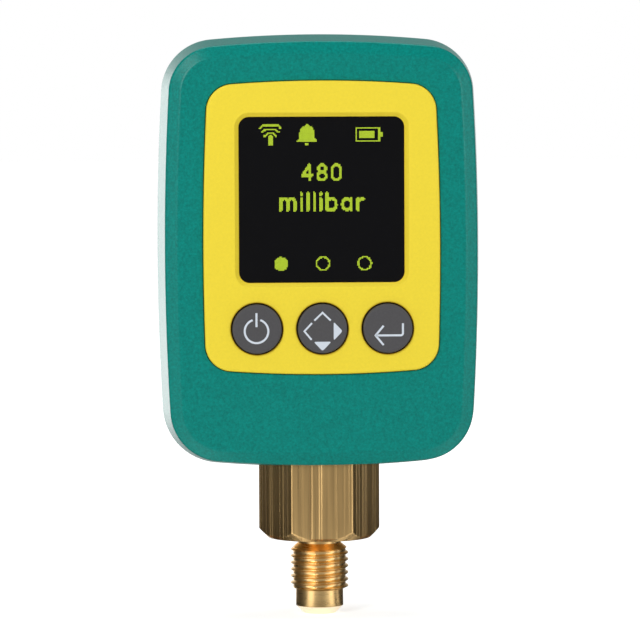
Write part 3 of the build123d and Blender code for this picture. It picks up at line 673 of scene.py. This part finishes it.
# Front panel: soft outer edge, a slope down to the window and three key holes
cover_plate = Skin()
rim = softened([(0, recess_depth), (0, panel_front), (1.6, panel_front)], 0.5, 7)
rim = rim[:-1]
cover_plate.profile(panel, panel_at, rim)
opening = box_loop(window_size, window_size, window_corner_radius)
lens_pocket = box_loop(
    window_size + 2 * lens_overlap + 0.3, window_size + 2 * lens_overlap + 0.3, 2.0
)
slope = softened(
    [
        (-window_bevel - 0.3, panel_front),
        (-window_bevel, panel_front),
        (0, panel_front + window_bevel),
        (0, lens_front),
    ],
    0.3,
    6,
)
cover_plate.profile(opening, window_at, slope)
cover_plate.strip(
    [ring(opening, window_at, lens_front)]
    + [ring(lens_pocket, window_at, d) for d in (lens_front, recess_depth)]
)
key_rim = softened([(-1.0, panel_front), (0, panel_front), (0, recess_depth)], 0.4, 7)
for x in key_places.values():
    cover_plate.profile(key_hole, (x, key_middle), key_rim)
key_rings = [(key_hole, (x, key_middle)) for x in key_places.values()]
cover_plate.face(
    ring(panel, panel_at, panel_front, rim[-1][0]),
    [ring(opening, window_at, panel_front, slope[0][0])]
    + [ring(loop, at, panel_front, key_rim[0][0]) for loop, at in key_rings],
)
cover_plate.face(
    ring(panel, panel_at, recess_depth),
    [ring(lens_pocket, window_at, recess_depth)]
    + [ring(loop, at, recess_depth) for loop, at in key_rings],
    forward=False,
)
front_panel = cover_plate.piece("front_panel_skin", "housing", yellow)
front_panel.data.materials.append(yellow_painted_key_shadow)
centres = np.array([p.center for p in front_panel.data.polygons]) / MM
from_key = [np.hypot(centres[:, 0] - x, centres[:, 2] - key_middle) for x in key_places.values()]
# Faces near a key hole get the painted contact shadow
in_key_shadow = np.min(from_key, axis=0) < key_hole_radius + 0.42
front_panel.data.polygons.foreach_set("material_index", in_key_shadow.astype(np.int32))
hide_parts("front_panel")

# Display window: a flat lens with softened edges
glass = Skin()
lens_loop = box_loop(window_size + 2 * lens_overlap, window_size + 2 * lens_overlap, 1.85)
lens_edge = softened([(1.0, lens_back), (0, lens_back), (0, lens_front), (1.0, lens_front)], 0.08)
glass.profile(lens_loop, window_at, lens_edge)
glass.face(ring(lens_loop, window_at, lens_front, 1.0))
glass.face(ring(lens_loop, window_at, lens_back, 1.0), forward=False)
display_window = glass.piece("display_window_skin", "housing", lens_black)
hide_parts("display_window")

# Rear cover: the walls and its bevel, the screw bosses, the door's rebate and the battery bay
rear = Skin()
rear_inset = drafted(rear_edge)
rear_outside = softened(
    [
        (rear_inset + rear_bevel_width + 0.8, rear_depth),
        (rear_inset + rear_bevel_width, rear_depth),
        (rear_inset, rear_edge),
        (0, 0),
        (wall, 0),
        (wall + drafted(inner_rear), inner_rear),
    ],
    (0.4, 0.4, parting_softness, parting_softness),
)
rear.profile(housing, housing_at, rear_outside)
boss_loop = round_loop(1.0)
boss_spots = [(x, z) for x in (-boss_x, boss_x) for z in boss_heights]
boss_path = [
    (boss_radius, inner_rear),
    (boss_radius, 0),
    (screw_hole_radius, 0),
    (screw_hole_radius, screw_seat),
    (counterbore_radius, screw_seat),
    (counterbore_radius, rear_depth - 0.25),
    (counterbore_radius + 0.25, rear_depth),
]
for at in boss_spots:
    rear.profile(boss_loop, at, [(1 - radius, depth) for radius, depth in boss_path])
door_length = door_top - door_base
door_at = (0, (door_base + door_top) / 2)
rebate = box_loop(door_width + 2 * door_gap, door_length + 2 * door_gap, door_corner_radius)
bay = box_loop(bay_width, bay_top - bay_base, 0.4)
bay_at = (0, (bay_base + bay_top) / 2)
bay_block = box_loop(bay_width + 2 * bay_wall - 0.2, bay_top - bay_base + 2 * bay_wall - 0.2, 0.5)
thick_top = bay_top + bay_wall
thick = box_loop(bay_width + 2 * bay_wall, thick_top - seat_base, 0.6)
thick_at = (0, (seat_base + thick_top) / 2)
insert_at = (0, door_screw_height)
insert_hole = round_loop(insert_radius)
insert_boss = round_loop(insert_boss_radius)
rebate_rim = [(-0.15, rear_depth), (0, rear_depth - 0.15), (0, door_seat)]
rear.profile(rebate, door_at, rebate_rim[::-1])
rear.face(
    ring(housing, housing_at, rear_depth, rear_outside[0][0]),
    [ring(rebate, door_at, rear_depth, -0.15)]
    + [ring(boss_loop, at, rear_depth, 1 - counterbore_radius - 0.25) for at in boss_spots],
    forward=False,
)
rear.face(
    ring(rebate, door_at, door_seat),
    [ring(bay, bay_at, door_seat), ring(insert_hole, insert_at, door_seat)],
    forward=False,
)
rear.strip([ring(bay, bay_at, d) for d in (bay_floor, door_seat)])
rear.face(ring(bay, bay_at, bay_floor), forward=False)
rear.strip([ring(insert_hole, insert_at, d) for d in (insert_floor, door_seat)])
rear.face(ring(insert_hole, insert_at, insert_floor), forward=False)
rear.face(
    ring(housing, housing_at, inner_rear, rear_outside[-1][0]),
    [ring(thick, thick_at, inner_rear)]
    + [ring(boss_loop, at, inner_rear, 1 - boss_radius) for at in boss_spots],
)
rear.strip([ring(thick, thick_at, d) for d in (inner_rear, seat_front)])
rear.face(
    ring(thick, thick_at, seat_front),
    [ring(bay_block, bay_at, seat_front), ring(insert_boss, insert_at, seat_front)],
)
rear.strip([ring(bay_block, bay_at, d) for d in (seat_front, bay_front)])
rear.face(ring(bay_block, bay_at, bay_front))
rear.strip([ring(insert_boss, insert_at, d) for d in (seat_front, insert_boss_front)])
rear.face(ring(insert_boss, insert_at, insert_boss_front))
rear_cover = rear.piece("rear_cover_skin", "housing", green_inside)
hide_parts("rear_cover")


def disc_piece(stations, at, name, body, material, sharp_degrees=32.0):
    """A turned piece on an axis along Y: (radius, depth) stations carried round a circle, with flat ends"""
    turned = Skin()
    unit = round_loop(1.0)
    turned.profile(unit, at, [(1 - radius, depth) for radius, depth in stations])
    first, last = stations[0], stations[-1]
    turned.face(ring(unit, at, first[1], 1 - first[0]), forward=False)
    turned.face(ring(unit, at, last[1], 1 - last[0]))
    return turned.piece(name, body, material, sharp_degrees)


def printed(outlines, at, depth, name, body, material):
    """Thin raised marks: each outline is a flat face in front and a wall down to the surface behind it"""
    marks = Skin()
    for outline in outlines:
        flat = np.array(outline, float) + np.array(at)
        area = flat[:, 0] * np.roll(flat[:, 1], -1) - flat[:, 1] * np.roll(flat[:, 0], -1)
        flat = flat if area.sum() > 0 else flat[::-1]
        rings = [
            np.stack([flat[:, 0], np.full(len(flat), d), flat[:, 1]], -1)
            for d in (depth, depth - mark_thickness)
        ]
        marks.strip(rings)
        marks.face(rings[1])
        marks.face(rings[0], forward=False)
    return marks.piece(name, body, material)


def stroke(path, width=symbol_width):
    """The outline of a line of even width: the path moved aside by half its width both ways.

    At an inner point the move is along the mean of the two normals, longer by one over its cosine.
    """
    path = np.array(path, float)
    way = np.diff(path, axis=0)
    way /= np.linalg.norm(way, axis=1)[:, None]
    normal = np.stack([-way[:, 1], way[:, 0]], -1)
    mean = np.vstack([normal[:1], normal[:-1] + normal[1:], normal[-1:]])
    mean /= np.linalg.norm(mean, axis=1)[:, None]
    lean = np.abs((mean * np.vstack([normal, normal[-1:]])).sum(1))
    aside = mean * (width / 2 / np.maximum(lean, 0.5))[:, None]
    return np.vstack([path + aside, (path - aside)[::-1]])


def bow(centre, radii, first, last, count=40):
    """Points on an ellipse: centre + (radius across * cos, radius up * sin), angles in degrees"""
    angle = np.radians(np.linspace(first, last, count))
    return np.array(centre) + np.stack([np.cos(angle), np.sin(angle)], -1) * np.array(radii)


def rounded_corners(points, reach):
    """A closed outline whose corners are short curves, by the same rule as a softened profile"""
    points = np.array(points, float)
    t = np.linspace(0, 1, 6)[:, None]
    found = []
    for before, corner, after in zip(np.roll(points, 1, 0), points, np.roll(points, -1, 0)):
        start = corner + reach * (before - corner) / np.linalg.norm(before - corner)
        end = corner + reach * (after - corner) / np.linalg.norm(after - corner)
        found.append((1 - t) ** 2 * start + 2 * t * (1 - t) * corner + t**2 * end)
    return np.vstack(found)


# Keys: a disc with a soft rim, a stem through the panel and a flange behind it
key_profile = softened(
    [
        (1.0, key_flange_back),
        (key_flange_radius, key_flange_back),
        (key_flange_radius, key_flange_front),
        (key_radius, key_flange_front),
        (key_radius, key_front),
        (1.0, key_front),
    ],
    (0.1, 0.1, 0.05, 0.4),
    6,
)
symbols = {
    "power": [
        stroke(bow((-0.13, -0.37), (2.2, 2.2), 109, 431)),
        stroke([(-0.13, 3.02), (-0.13, 0.42)]),
    ],
    "arrow": [
        stroke([(-1.55, 1.55), (-0.02, 3.02), (1.5, 1.55)], 0.34),
        stroke([(-2.0, 1.08), (-3.42, -0.43), (-2.08, -2.02)], 0.34),
        rounded_corners([(2.05, 1.3), (3.72, -0.43), (2.05, -2.2)], 0.42),
        rounded_corners([(-1.7, -2.4), (-0.05, -4.16), (1.62, -2.4)], 0.42),
    ],
    "enter": [
        stroke(
            np.vstack(
                [[(-2.2, -1.3)], bow((2.37, -0.9), (0.4, 0.4), 270, 360, 8), [(2.77, 0.95)]]
            )
        ),
        stroke([(-0.84, 0.5), (-2.34, -1.3), (-0.84, -3.1)]),
    ],
}
for key_name, x in key_places.items():
    at = (x, key_middle)
    body = f"{key_name}_button"
    key = disc_piece(key_profile, at, f"{key_name}_key_skin", body, key_grey)
    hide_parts(f"{key_name}_key")
    printed(
        symbols[key_name],
        at,
        key_front,
        f"{key_name}_symbol",
        body,
        symbol_print,
    )


# Display: every mark is drawn on the display's own grid of dots, and each lit dot is a small raised square


def near(path, reach):
    """Which dots lie within reach of a path: those whose nearest path point is that near"""
    gap = np.linalg.norm(dots[:, None] - np.asarray(path)[None], axis=2).min(1)
    return gap < reach


def line(*points, count=60):
    """Evenly spread points along straight runs between the given points"""
    points = np.array(points, float)
    share = np.linspace(0, len(points) - 1, count * (len(points) - 1) + 1)
    at = np.arange(len(points))
    return np.stack([np.interp(share, at, points[:, k]) for k in range(2)], -1)


def letters(text, left, foot, width, height, space):
    """The strokes of a line of letters, each drawn in its own cell from left to right"""
    found = []
    for letter in text:
        wide, strokes = glyphs[letter]
        found += [s * np.array([width, height]) + np.array([left, foot]) for s in strokes]
        left += wide * width + space
    return np.vstack(found)


glyphs = {
    "4": (1.1, [line((0.82, 0), (0.82, 1), (0.0, 0.3), (1.1, 0.3))]),
    "8": (1.0, [bow((0.5, 0.76), (0.42, 0.24), 0, 360), bow((0.5, 0.26), (0.5, 0.26), 0, 360)]),
    "0": (1.0, [bow((0.5, 0.66), (0.5, 0.34), 0, 180), bow((0.5, 0.34), (0.5, 0.34), 180, 360)]),
    "m": (
        1.6,
        [
            line((0, 0), (0, 0.68)),
            line((0.8, 0), (0.8, 0.5)),
            line((1.6, 0), (1.6, 0.5)),
            bow((0.4, 0.46), (0.4, 0.22), 0, 180),
            bow((1.2, 0.46), (0.4, 0.22), 0, 180),
        ],
    ),
    "i": (0.0, [line((0, 0), (0, 0.68)), line((0, 0.93), (0, 1.0), count=8)]),
    "l": (0.0, [line((0, 0), (0, 1))]),
    "b": (
        1.0,
        [
            line((0, 0), (0, 1)),
            bow((0.5, 0.42), (0.5, 0.26), 0, 180),
            bow((0.5, 0.26), (0.5, 0.26), 180, 360),
            line((1, 0.26), (1, 0.42), count=12),
        ],
    ),
    "a": (1.0, [bow((0.5, 0.34), (0.5, 0.33), 0, 360, 60), line((1, 0), (1, 0.68))]),
    "r": (0.6, [line((0, 0), (0, 0.68)), bow((0.5, 0.38), (0.48, 0.28), 75, 180)]),
}
glyphs["0"][1].extend([line((0, 0.34), (0, 0.66)), line((1, 0.34), (1, 0.66))])
spread = (np.arange(display_cells) - (display_cells - 1) / 2) * display_pitch
dots = np.stack(np.meshgrid(spread, spread), -1).reshape(-1, 2)
number = letters("480", -3.55, 3.68, 1.6, 2.8, 1.08)
unit = letters("millibar", -7.6, -1.92, 1.65, 3.1, 1.2)
bell = np.vstack(
    [
        bow((-2.67, 12.1), (1.45, 1.75), 0, 78, 12),
        [(-2.42, 14.1), (-2.92, 14.1)],
        bow((-2.67, 12.1), (1.45, 1.75), 102, 180, 12),
        [(-4.12, 11.45), (-4.6, 10.85), (-0.74, 10.85), (-1.22, 11.45)],
    ]
)
lit = near(number, 0.265) | near(unit, 0.28)
for path in (
    line((-11.45, 13.25), (-10.9, 13.9), (-8.1, 13.9), (-7.55, 13.25)),
    line((-11.05, 12.6), (-10.35, 13.15), (-8.65, 13.15), (-7.95, 12.6)),
    line((-10.6, 11.85), (-9.95, 12.4), (-9.05, 12.4), (-8.4, 11.85)),
    line((6.55, 13.25), (10.75, 13.25), (10.75, 10.95), (6.55, 10.95), (6.55, 13.25)),
    bow((0.2, -11.9), (1.2, 1.2), 0, 360, 90),
    bow((8.0, -11.9), (1.2, 1.2), 0, 360, 90),
):
    lit |= near(path, 0.16)
for outline in (
    bell,
    [(-9.95, 10.05), (-9.05, 10.05), (-9.05, 11.85), (-9.5, 12.1), (-9.95, 11.85)],
    [(-3.0, 10.5), (-2.34, 10.5), (-2.34, 10.1), (-3.0, 10.1)],
    [(7.02, 12.75), (9.95, 12.75), (9.95, 11.45), (7.02, 11.45)],
    [(10.9, 12.55), (11.4, 12.55), (11.4, 11.6), (10.9, 11.6)],
    bow((-7.6, -11.95), (1.3, 1.3), 0, 350, 36),
):
    lit |= inside(dots, np.array(outline, float))
cell = np.array([(-1, -1), (1, -1), (1, 1), (-1, 1)]) * dot_size / 2
squares = dots[lit][:, None] + cell + np.array(window_at)
layers = [
    np.concatenate([squares[..., :1], np.full((*squares.shape[:2], 1), d), squares[..., 1:]], -1)
    for d in (lens_front, lens_front - mark_thickness)
]
corner = np.arange(4)
walls = np.stack([corner, (corner + 1) % 4, (corner + 1) % 4 + 4, corner + 4], -1)
one_box = np.vstack([walls, [[4, 5, 6, 7], [3, 2, 1, 0]]])
boxes = Skin()
box_starts = np.arange(lit.sum())[:, None, None] * 8
boxes.keep(np.concatenate(layers, 1).reshape(-1, 3), (one_box + box_starts).reshape(-1, 4))
boxes.piece("display_marks", "housing", lime)

# Adapter: level rings on one set of directions round the axis, from the bore round the outside to the socket


def hexagon_directions(per_flat=26, per_corner=7):
    """Directions and radii of a rounded hexagon: straight flats, and arcs of a small radius at its corners"""
    half = np.pi / 6
    centre = (hex_across_flats / 2 - hex_corner_softness) / np.cos(half)
    turn = np.arange(6) * np.pi / 3
    swing = np.linspace(-half, half, per_corner)
    angle = turn[:, None] + swing
    arcs = centre * np.stack([np.cos(turn), np.sin(turn)], -1)[:, None] + (
        hex_corner_softness * np.stack([np.cos(angle), np.sin(angle)], -1)
    )
    share = (np.arange(1, per_flat) / per_flat)[None, :, None]
    start, end = arcs[:, -1:], np.roll(arcs[:, :1], -1, axis=0)
    loop = np.concatenate([arcs, start + (end - start) * share], 1).reshape(-1, 2)
    radius = np.linalg.norm(loop, axis=1)
    return loop / radius[:, None], radius


def rounded_step(rise, top, softness):
    """A rise that is held between 0 and top, with both bends rounded: (x + sqrt(x^2 + softness^2)) / 2"""
    from_zero = (rise + np.sqrt(rise**2 + softness**2)) / 2
    below = top - from_zero
    return top - (below + np.sqrt(below**2 + softness**2)) / 2


def thread_radii(height, direction):
    """Radius of the screw thread: the major radius less the depth of a 60 degree groove.

    The distance from the nearest crest is measured along the axis, with the crest rising one pitch a turn,
    and the groove deepens by tan 60 times the distance past half the crest's flat. Both ends are turned
    down to a cone.
    """
    turn = np.arctan2(direction[:, 1], direction[:, 0]) / (2 * np.pi)
    phase = (height[:, None] - thread_crest_height) / thread_pitch - turn
    away = np.abs(phase - np.round(phase)) * thread_pitch - thread_crest / 2
    groove = rounded_step(away * np.tan(np.pi / 3), thread_depth, thread_softness)
    top = neck_radius + (neck_base - height) * (thread_radius - neck_radius) / thread_entry
    low = nose_radius + height * (thread_radius - nose_radius) / thread_end_rise
    limit = np.minimum(top, low)[:, None]
    return np.minimum(thread_radius - groove, np.maximum(limit, 0))


direction, hex_radius = hexagon_directions()
thread_heights = np.linspace(0, neck_base, 200)
lower = softened(
    [
        (bore_radius, socket_base),
        (bore_radius, -nose_length - nose_radius + cone_end_radius),
        (cone_end_radius, -nose_length - nose_radius + cone_end_radius),
        (nose_radius, -nose_length),
        (nose_radius, 0),
    ],
    (0.12, 0.12, 0.1),
)
upper_neck = softened(
    [
        (neck_radius, neck_base),
        (neck_radius, shoulder_height),
        (shoulder_radius, shoulder_height),
        (shoulder_radius + 0.5, shoulder_height + 0.5 * shoulder_slope),
    ],
    (0.15, 0.1),
)
above = softened(
    [
        (hex_across_flats / 2 - 1, hex_top),
        (spigot_radius, hex_top),
        (spigot_radius, flange_base),
        (flange_radius, flange_base),
        (flange_radius, flange_top),
        (spigot_radius, flange_top),
        (spigot_radius, spigot_top),
        (socket_radius, spigot_top),
        (socket_radius, socket_base),
        (bore_radius, socket_base),
    ],
    0.15,
    3,
)
# The shoulder is turned to a cone, which meets each flat at the radius that the hexagon has in that direction
chamfer_end = shoulder_height + (hex_radius - shoulder_radius) * shoulder_slope
on_cone = np.stack([hex_radius - 0.12, chamfer_end - 0.12 * shoulder_slope], -1)
on_flat = np.stack([hex_radius, chamfer_end + 0.15], -1)
meet = np.stack([hex_radius, chamfer_end], -1)
t = np.linspace(0, 1, 6)[:, None, None]
lip = (1 - t) ** 2 * on_cone + 2 * t * (1 - t) * meet + t**2 * on_flat

rings = [level(r, direction, z) for r, z in lower]
rings += [
    np.column_stack([r[:, None] * direction, np.full(len(r), z)])
    for z, r in zip(thread_heights[1:-1], thread_radii(thread_heights, direction)[1:-1])
]
rings += [level(r, direction, z) for r, z in upper_neck]
rings += [np.column_stack([p[:, :1] * direction, p[:, 1]]) for p in lip]
rings += [level(hex_radius, direction, z) for z in (13.5, hex_top)]
rings += [level(r, direction, z) for r, z in above[:-1]]
turned = Skin()
turned.strip(rings)
adapter = turned.piece("vacuum_adapter_skin", "housing", brass_turned, 28.0)
adapter.data.materials.append(brass_hex)
heights = np.array([p.center.z for p in adapter.data.polygons]) / MM
adapter.data.materials.append(brass_cone_painted_reflection)
on_hexagon = (heights > shoulder_height) & (heights < hex_top)
# The cone below the nose gets the pale colour of the painted floor reflection
on_cone = heights < -nose_length
adapter.data.polygons.foreach_set("material_index", (on_hexagon + 2 * on_cone).astype(np.int32))
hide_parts("vacuum_adapter")

# Studio: a pale floor at the adapter's foot, soft lamps, and a screen that only reflections see


def card(name, corners, material):
    """A flat studio card from its four corners, in metres"""
    mesh = bpy.data.meshes.new(name)
    mesh.from_pydata(corners, [], [(0, 1, 2, 3)])
    mesh.materials.append(material)
    made = bpy.data.objects.new(name, mesh)
    bpy.context.scene.collection.objects.link(made)
    return made


def soft_lamp(name, place, aim, width, height, power):
    """An upright rectangular lamp at a place, turned towards a point"""
    data = bpy.data.lights.new(name, "AREA")
    data.shape = "RECTANGLE"
    data.energy = power
    data.size = width
    data.size_y = height
    lamp = bpy.data.objects.new(name, data)
    bpy.context.scene.collection.objects.link(lamp)
    towards = Vector(aim) - Vector(place)
    lamp.matrix_world = Matrix.Translation(place) @ towards.to_track_quat("-Z", "Y").to_matrix().to_4x4()
    return lamp


floor_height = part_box("vacuum_adapter")[0].z


def studio_material(name, base, glow):
    """A matt studio surface that also gives off an even light of its own"""
    material = finish(name, (base, base, base), Roughness=1.0, Specular_IOR_Level=0.0)
    shader = material.node_tree.nodes["Principled BSDF"]
    shader.inputs["Emission Color"].default_value = (1, 1, 1, 1)
    shader.inputs["Emission Strength"].default_value = glow
    return material


def seen_directly(tree):
    """1 for rays from the camera, a reflection or a clear piece, and 0 for the light that falls on surfaces"""
    rays = tree.nodes.new("ShaderNodeLightPath")
    seen = rays.outputs["Is Camera Ray"]
    for kind in ("Is Glossy Ray", "Is Transmission Ray"):
        either = tree.nodes.new("ShaderNodeMath")
        either.operation = "MAXIMUM"
        tree.links.new(seen, either.inputs[0])
        tree.links.new(rays.outputs[kind], either.inputs[1])
        seen = either.outputs["Value"]
    return seen


def floor_material():
    """Matt white that shows lighter away from the middle, where the lamps reach less"""
    material = studio_material("floor_white", 0.8, 1.0)
    tree = material.node_tree
    place = node(material, "ShaderNodeTexCoord")
    size = node(material, "ShaderNodeVectorMath", operation="LENGTH")
    glow = node(material, "ShaderNodeMapRange")
    for socket, value in zip(("From Min", "From Max", "To Min", "To Max"), floor_glow):
        glow.inputs[socket].default_value = value
    shown = node(material, "ShaderNodeMath", operation="MULTIPLY")
    tree.links.new(place.outputs["Object"], size.inputs[0])
    tree.links.new(size.outputs["Value"], glow.inputs["Value"])
    tree.links.new(glow.outputs["Result"], shown.inputs[0])
    tree.links.new(seen_directly(tree), shown.inputs[1])
    shader = tree.nodes["Principled BSDF"]
    tree.links.new(shown.outputs["Value"], shader.inputs["Emission Strength"])
    return material


def reflector(name, levels, radius, height):
    """A round screen that only reflections see: a floor disc, a wall and a roof round the object.

    A point at azimuth a, from the front towards +X, and distance r along the profile (r, z) is
    (r sin a, -r cos a, z). Its brightness is the level at its azimuth, faded with its elevation.
    """
    azimuth = np.radians(np.arange(-180, 181, 3))
    along = np.array([(r, 0) for r in (0.0055, 0.012, 0.018, 0.03, 0.05, 0.12, 0.22, 0.4, radius)])
    wall_heights = height * np.array([0.04, 0.1, 0.16, 0.24, 0.4, 0.7, 1.0])
    along = np.vstack([along, [(radius, h) for h in wall_heights], [(0.02, height)]])
    r, z = along[:, :1], along[:, 1:]
    points = np.stack(
        [r * np.sin(azimuth), -r * np.cos(azimuth), np.broadcast_to(z, (len(r), len(azimuth)))], -1
    )
    points[..., 2] += floor_height + 0.0005
    rows, columns = points.shape[:2]
    index = np.arange(rows * columns).reshape(rows, columns)
    quads = np.stack([index[:-1, :-1], index[1:, :-1], index[1:, 1:], index[:-1, 1:]], -1)
    mesh = bpy.data.meshes.new(name)
    mesh.from_pydata(points.reshape(-1, 3).tolist(), [], quads.reshape(-1, 4).tolist())
    level_table = np.array(levels, float)
    around = np.interp(np.degrees(azimuth), level_table[:, 0], level_table[:, 1])
    elevation = np.degrees(np.arctan2(z - 0.06, r))
    in_front, behind = (np.interp(elevation, *np.transpose(f)) for f in (front_fade, back_fade))
    fade = np.where(np.abs(azimuth) < np.pi / 2, in_front, behind)
    glow = np.broadcast_to(around * fade, (rows, columns)).astype(np.float32)
    mesh.attributes.new("glow", "FLOAT", "POINT").data.foreach_set("value", glow.ravel())
    material = studio_material(name, 0.0, 1.0)
    read = node(material, "ShaderNodeAttribute", attribute_name="glow")
    shader = material.node_tree.nodes["Principled BSDF"]
    material.node_tree.links.new(read.outputs["Fac"], shader.inputs["Emission Strength"])
    mesh.materials.append(material)
    made = bpy.data.objects.new(name, mesh)
    bpy.context.scene.collection.objects.link(made)
    made.visible_camera = made.visible_diffuse = made.visible_shadow = False
    made.visible_transmission = False


card(
    "floor",
    [(x, y, floor_height) for x, y in ((-4, -3), (4, -3), (4, 6), (-4, 6))],
    floor_material(),
)
reflector("reflector", reflector_levels, 1.3, 1.3)

world = bpy.data.worlds.new("studio")
bpy.context.scene.world = world
world.use_nodes = True
tree = world.node_tree
background = tree.nodes["Background"]
background.inputs["Color"].default_value = (1, 1, 1, 1)
background.inputs["Strength"].default_value = room_light
seen = tree.nodes.new("ShaderNodeBackground")
seen.inputs["Color"].default_value = (1, 1, 1, 1)
seen.inputs["Strength"].default_value = 1.0
mixed = tree.nodes.new("ShaderNodeMixShader")
tree.links.new(seen_directly(tree), mixed.inputs["Fac"])
tree.links.new(background.outputs["Background"], mixed.inputs[1])
tree.links.new(seen.outputs["Background"], mixed.inputs[2])
tree.links.new(mixed.outputs["Shader"], tree.nodes["World Output"].inputs["Surface"])

soft_lamp("key_lamp", (-0.4, -0.68, 0.42), (0, 0, 0.06), 0.2, 0.5, key_power)
soft_lamp("fill_lamp", (0.65, -0.8, 0.25), (0, 0, 0.06), 0.45, 0.45, fill_power)
soft_lamp("top_lamp", (0, 0.15, 1.0), (0, 0, 0.06), 0.7, 0.7, top_power)

# Camera, placed from the photo's own perspective
camera_place = np.array([-38.35, -710.9, 91.64]) * MM
yaw, pitch, roll = np.radians([3.053, 3.271, 0.236])
focal = 3753.4
ahead = np.array([np.sin(yaw) * np.cos(pitch), np.cos(yaw) * np.cos(pitch), -np.sin(pitch)])
level_right = np.cross(ahead, [0, 0, 1])
level_right /= np.linalg.norm(level_right)
level_up = np.cross(level_right, ahead)
right = np.cos(roll) * level_right - np.sin(roll) * level_up
up = np.sin(roll) * level_right + np.cos(roll) * level_up
data = bpy.data.cameras.new("camera")
data.sensor_width = 36.0
data.lens = 36.0 * focal / 640
data.shift_x = 3.8 / 640
data.shift_y = 1.5 / 640
data.clip_start = 0.05
camera = bpy.data.objects.new("camera", data)
bpy.context.scene.collection.objects.link(camera)
pose = np.eye(4)
pose[:3, 0], pose[:3, 1], pose[:3, 2], pose[:3, 3] = right, up, -ahead, camera_place
camera.matrix_world = Matrix(pose.tolist())
bpy.context.scene.camera = camera
bpy.context.scene.view_settings.view_transform = "Standard"
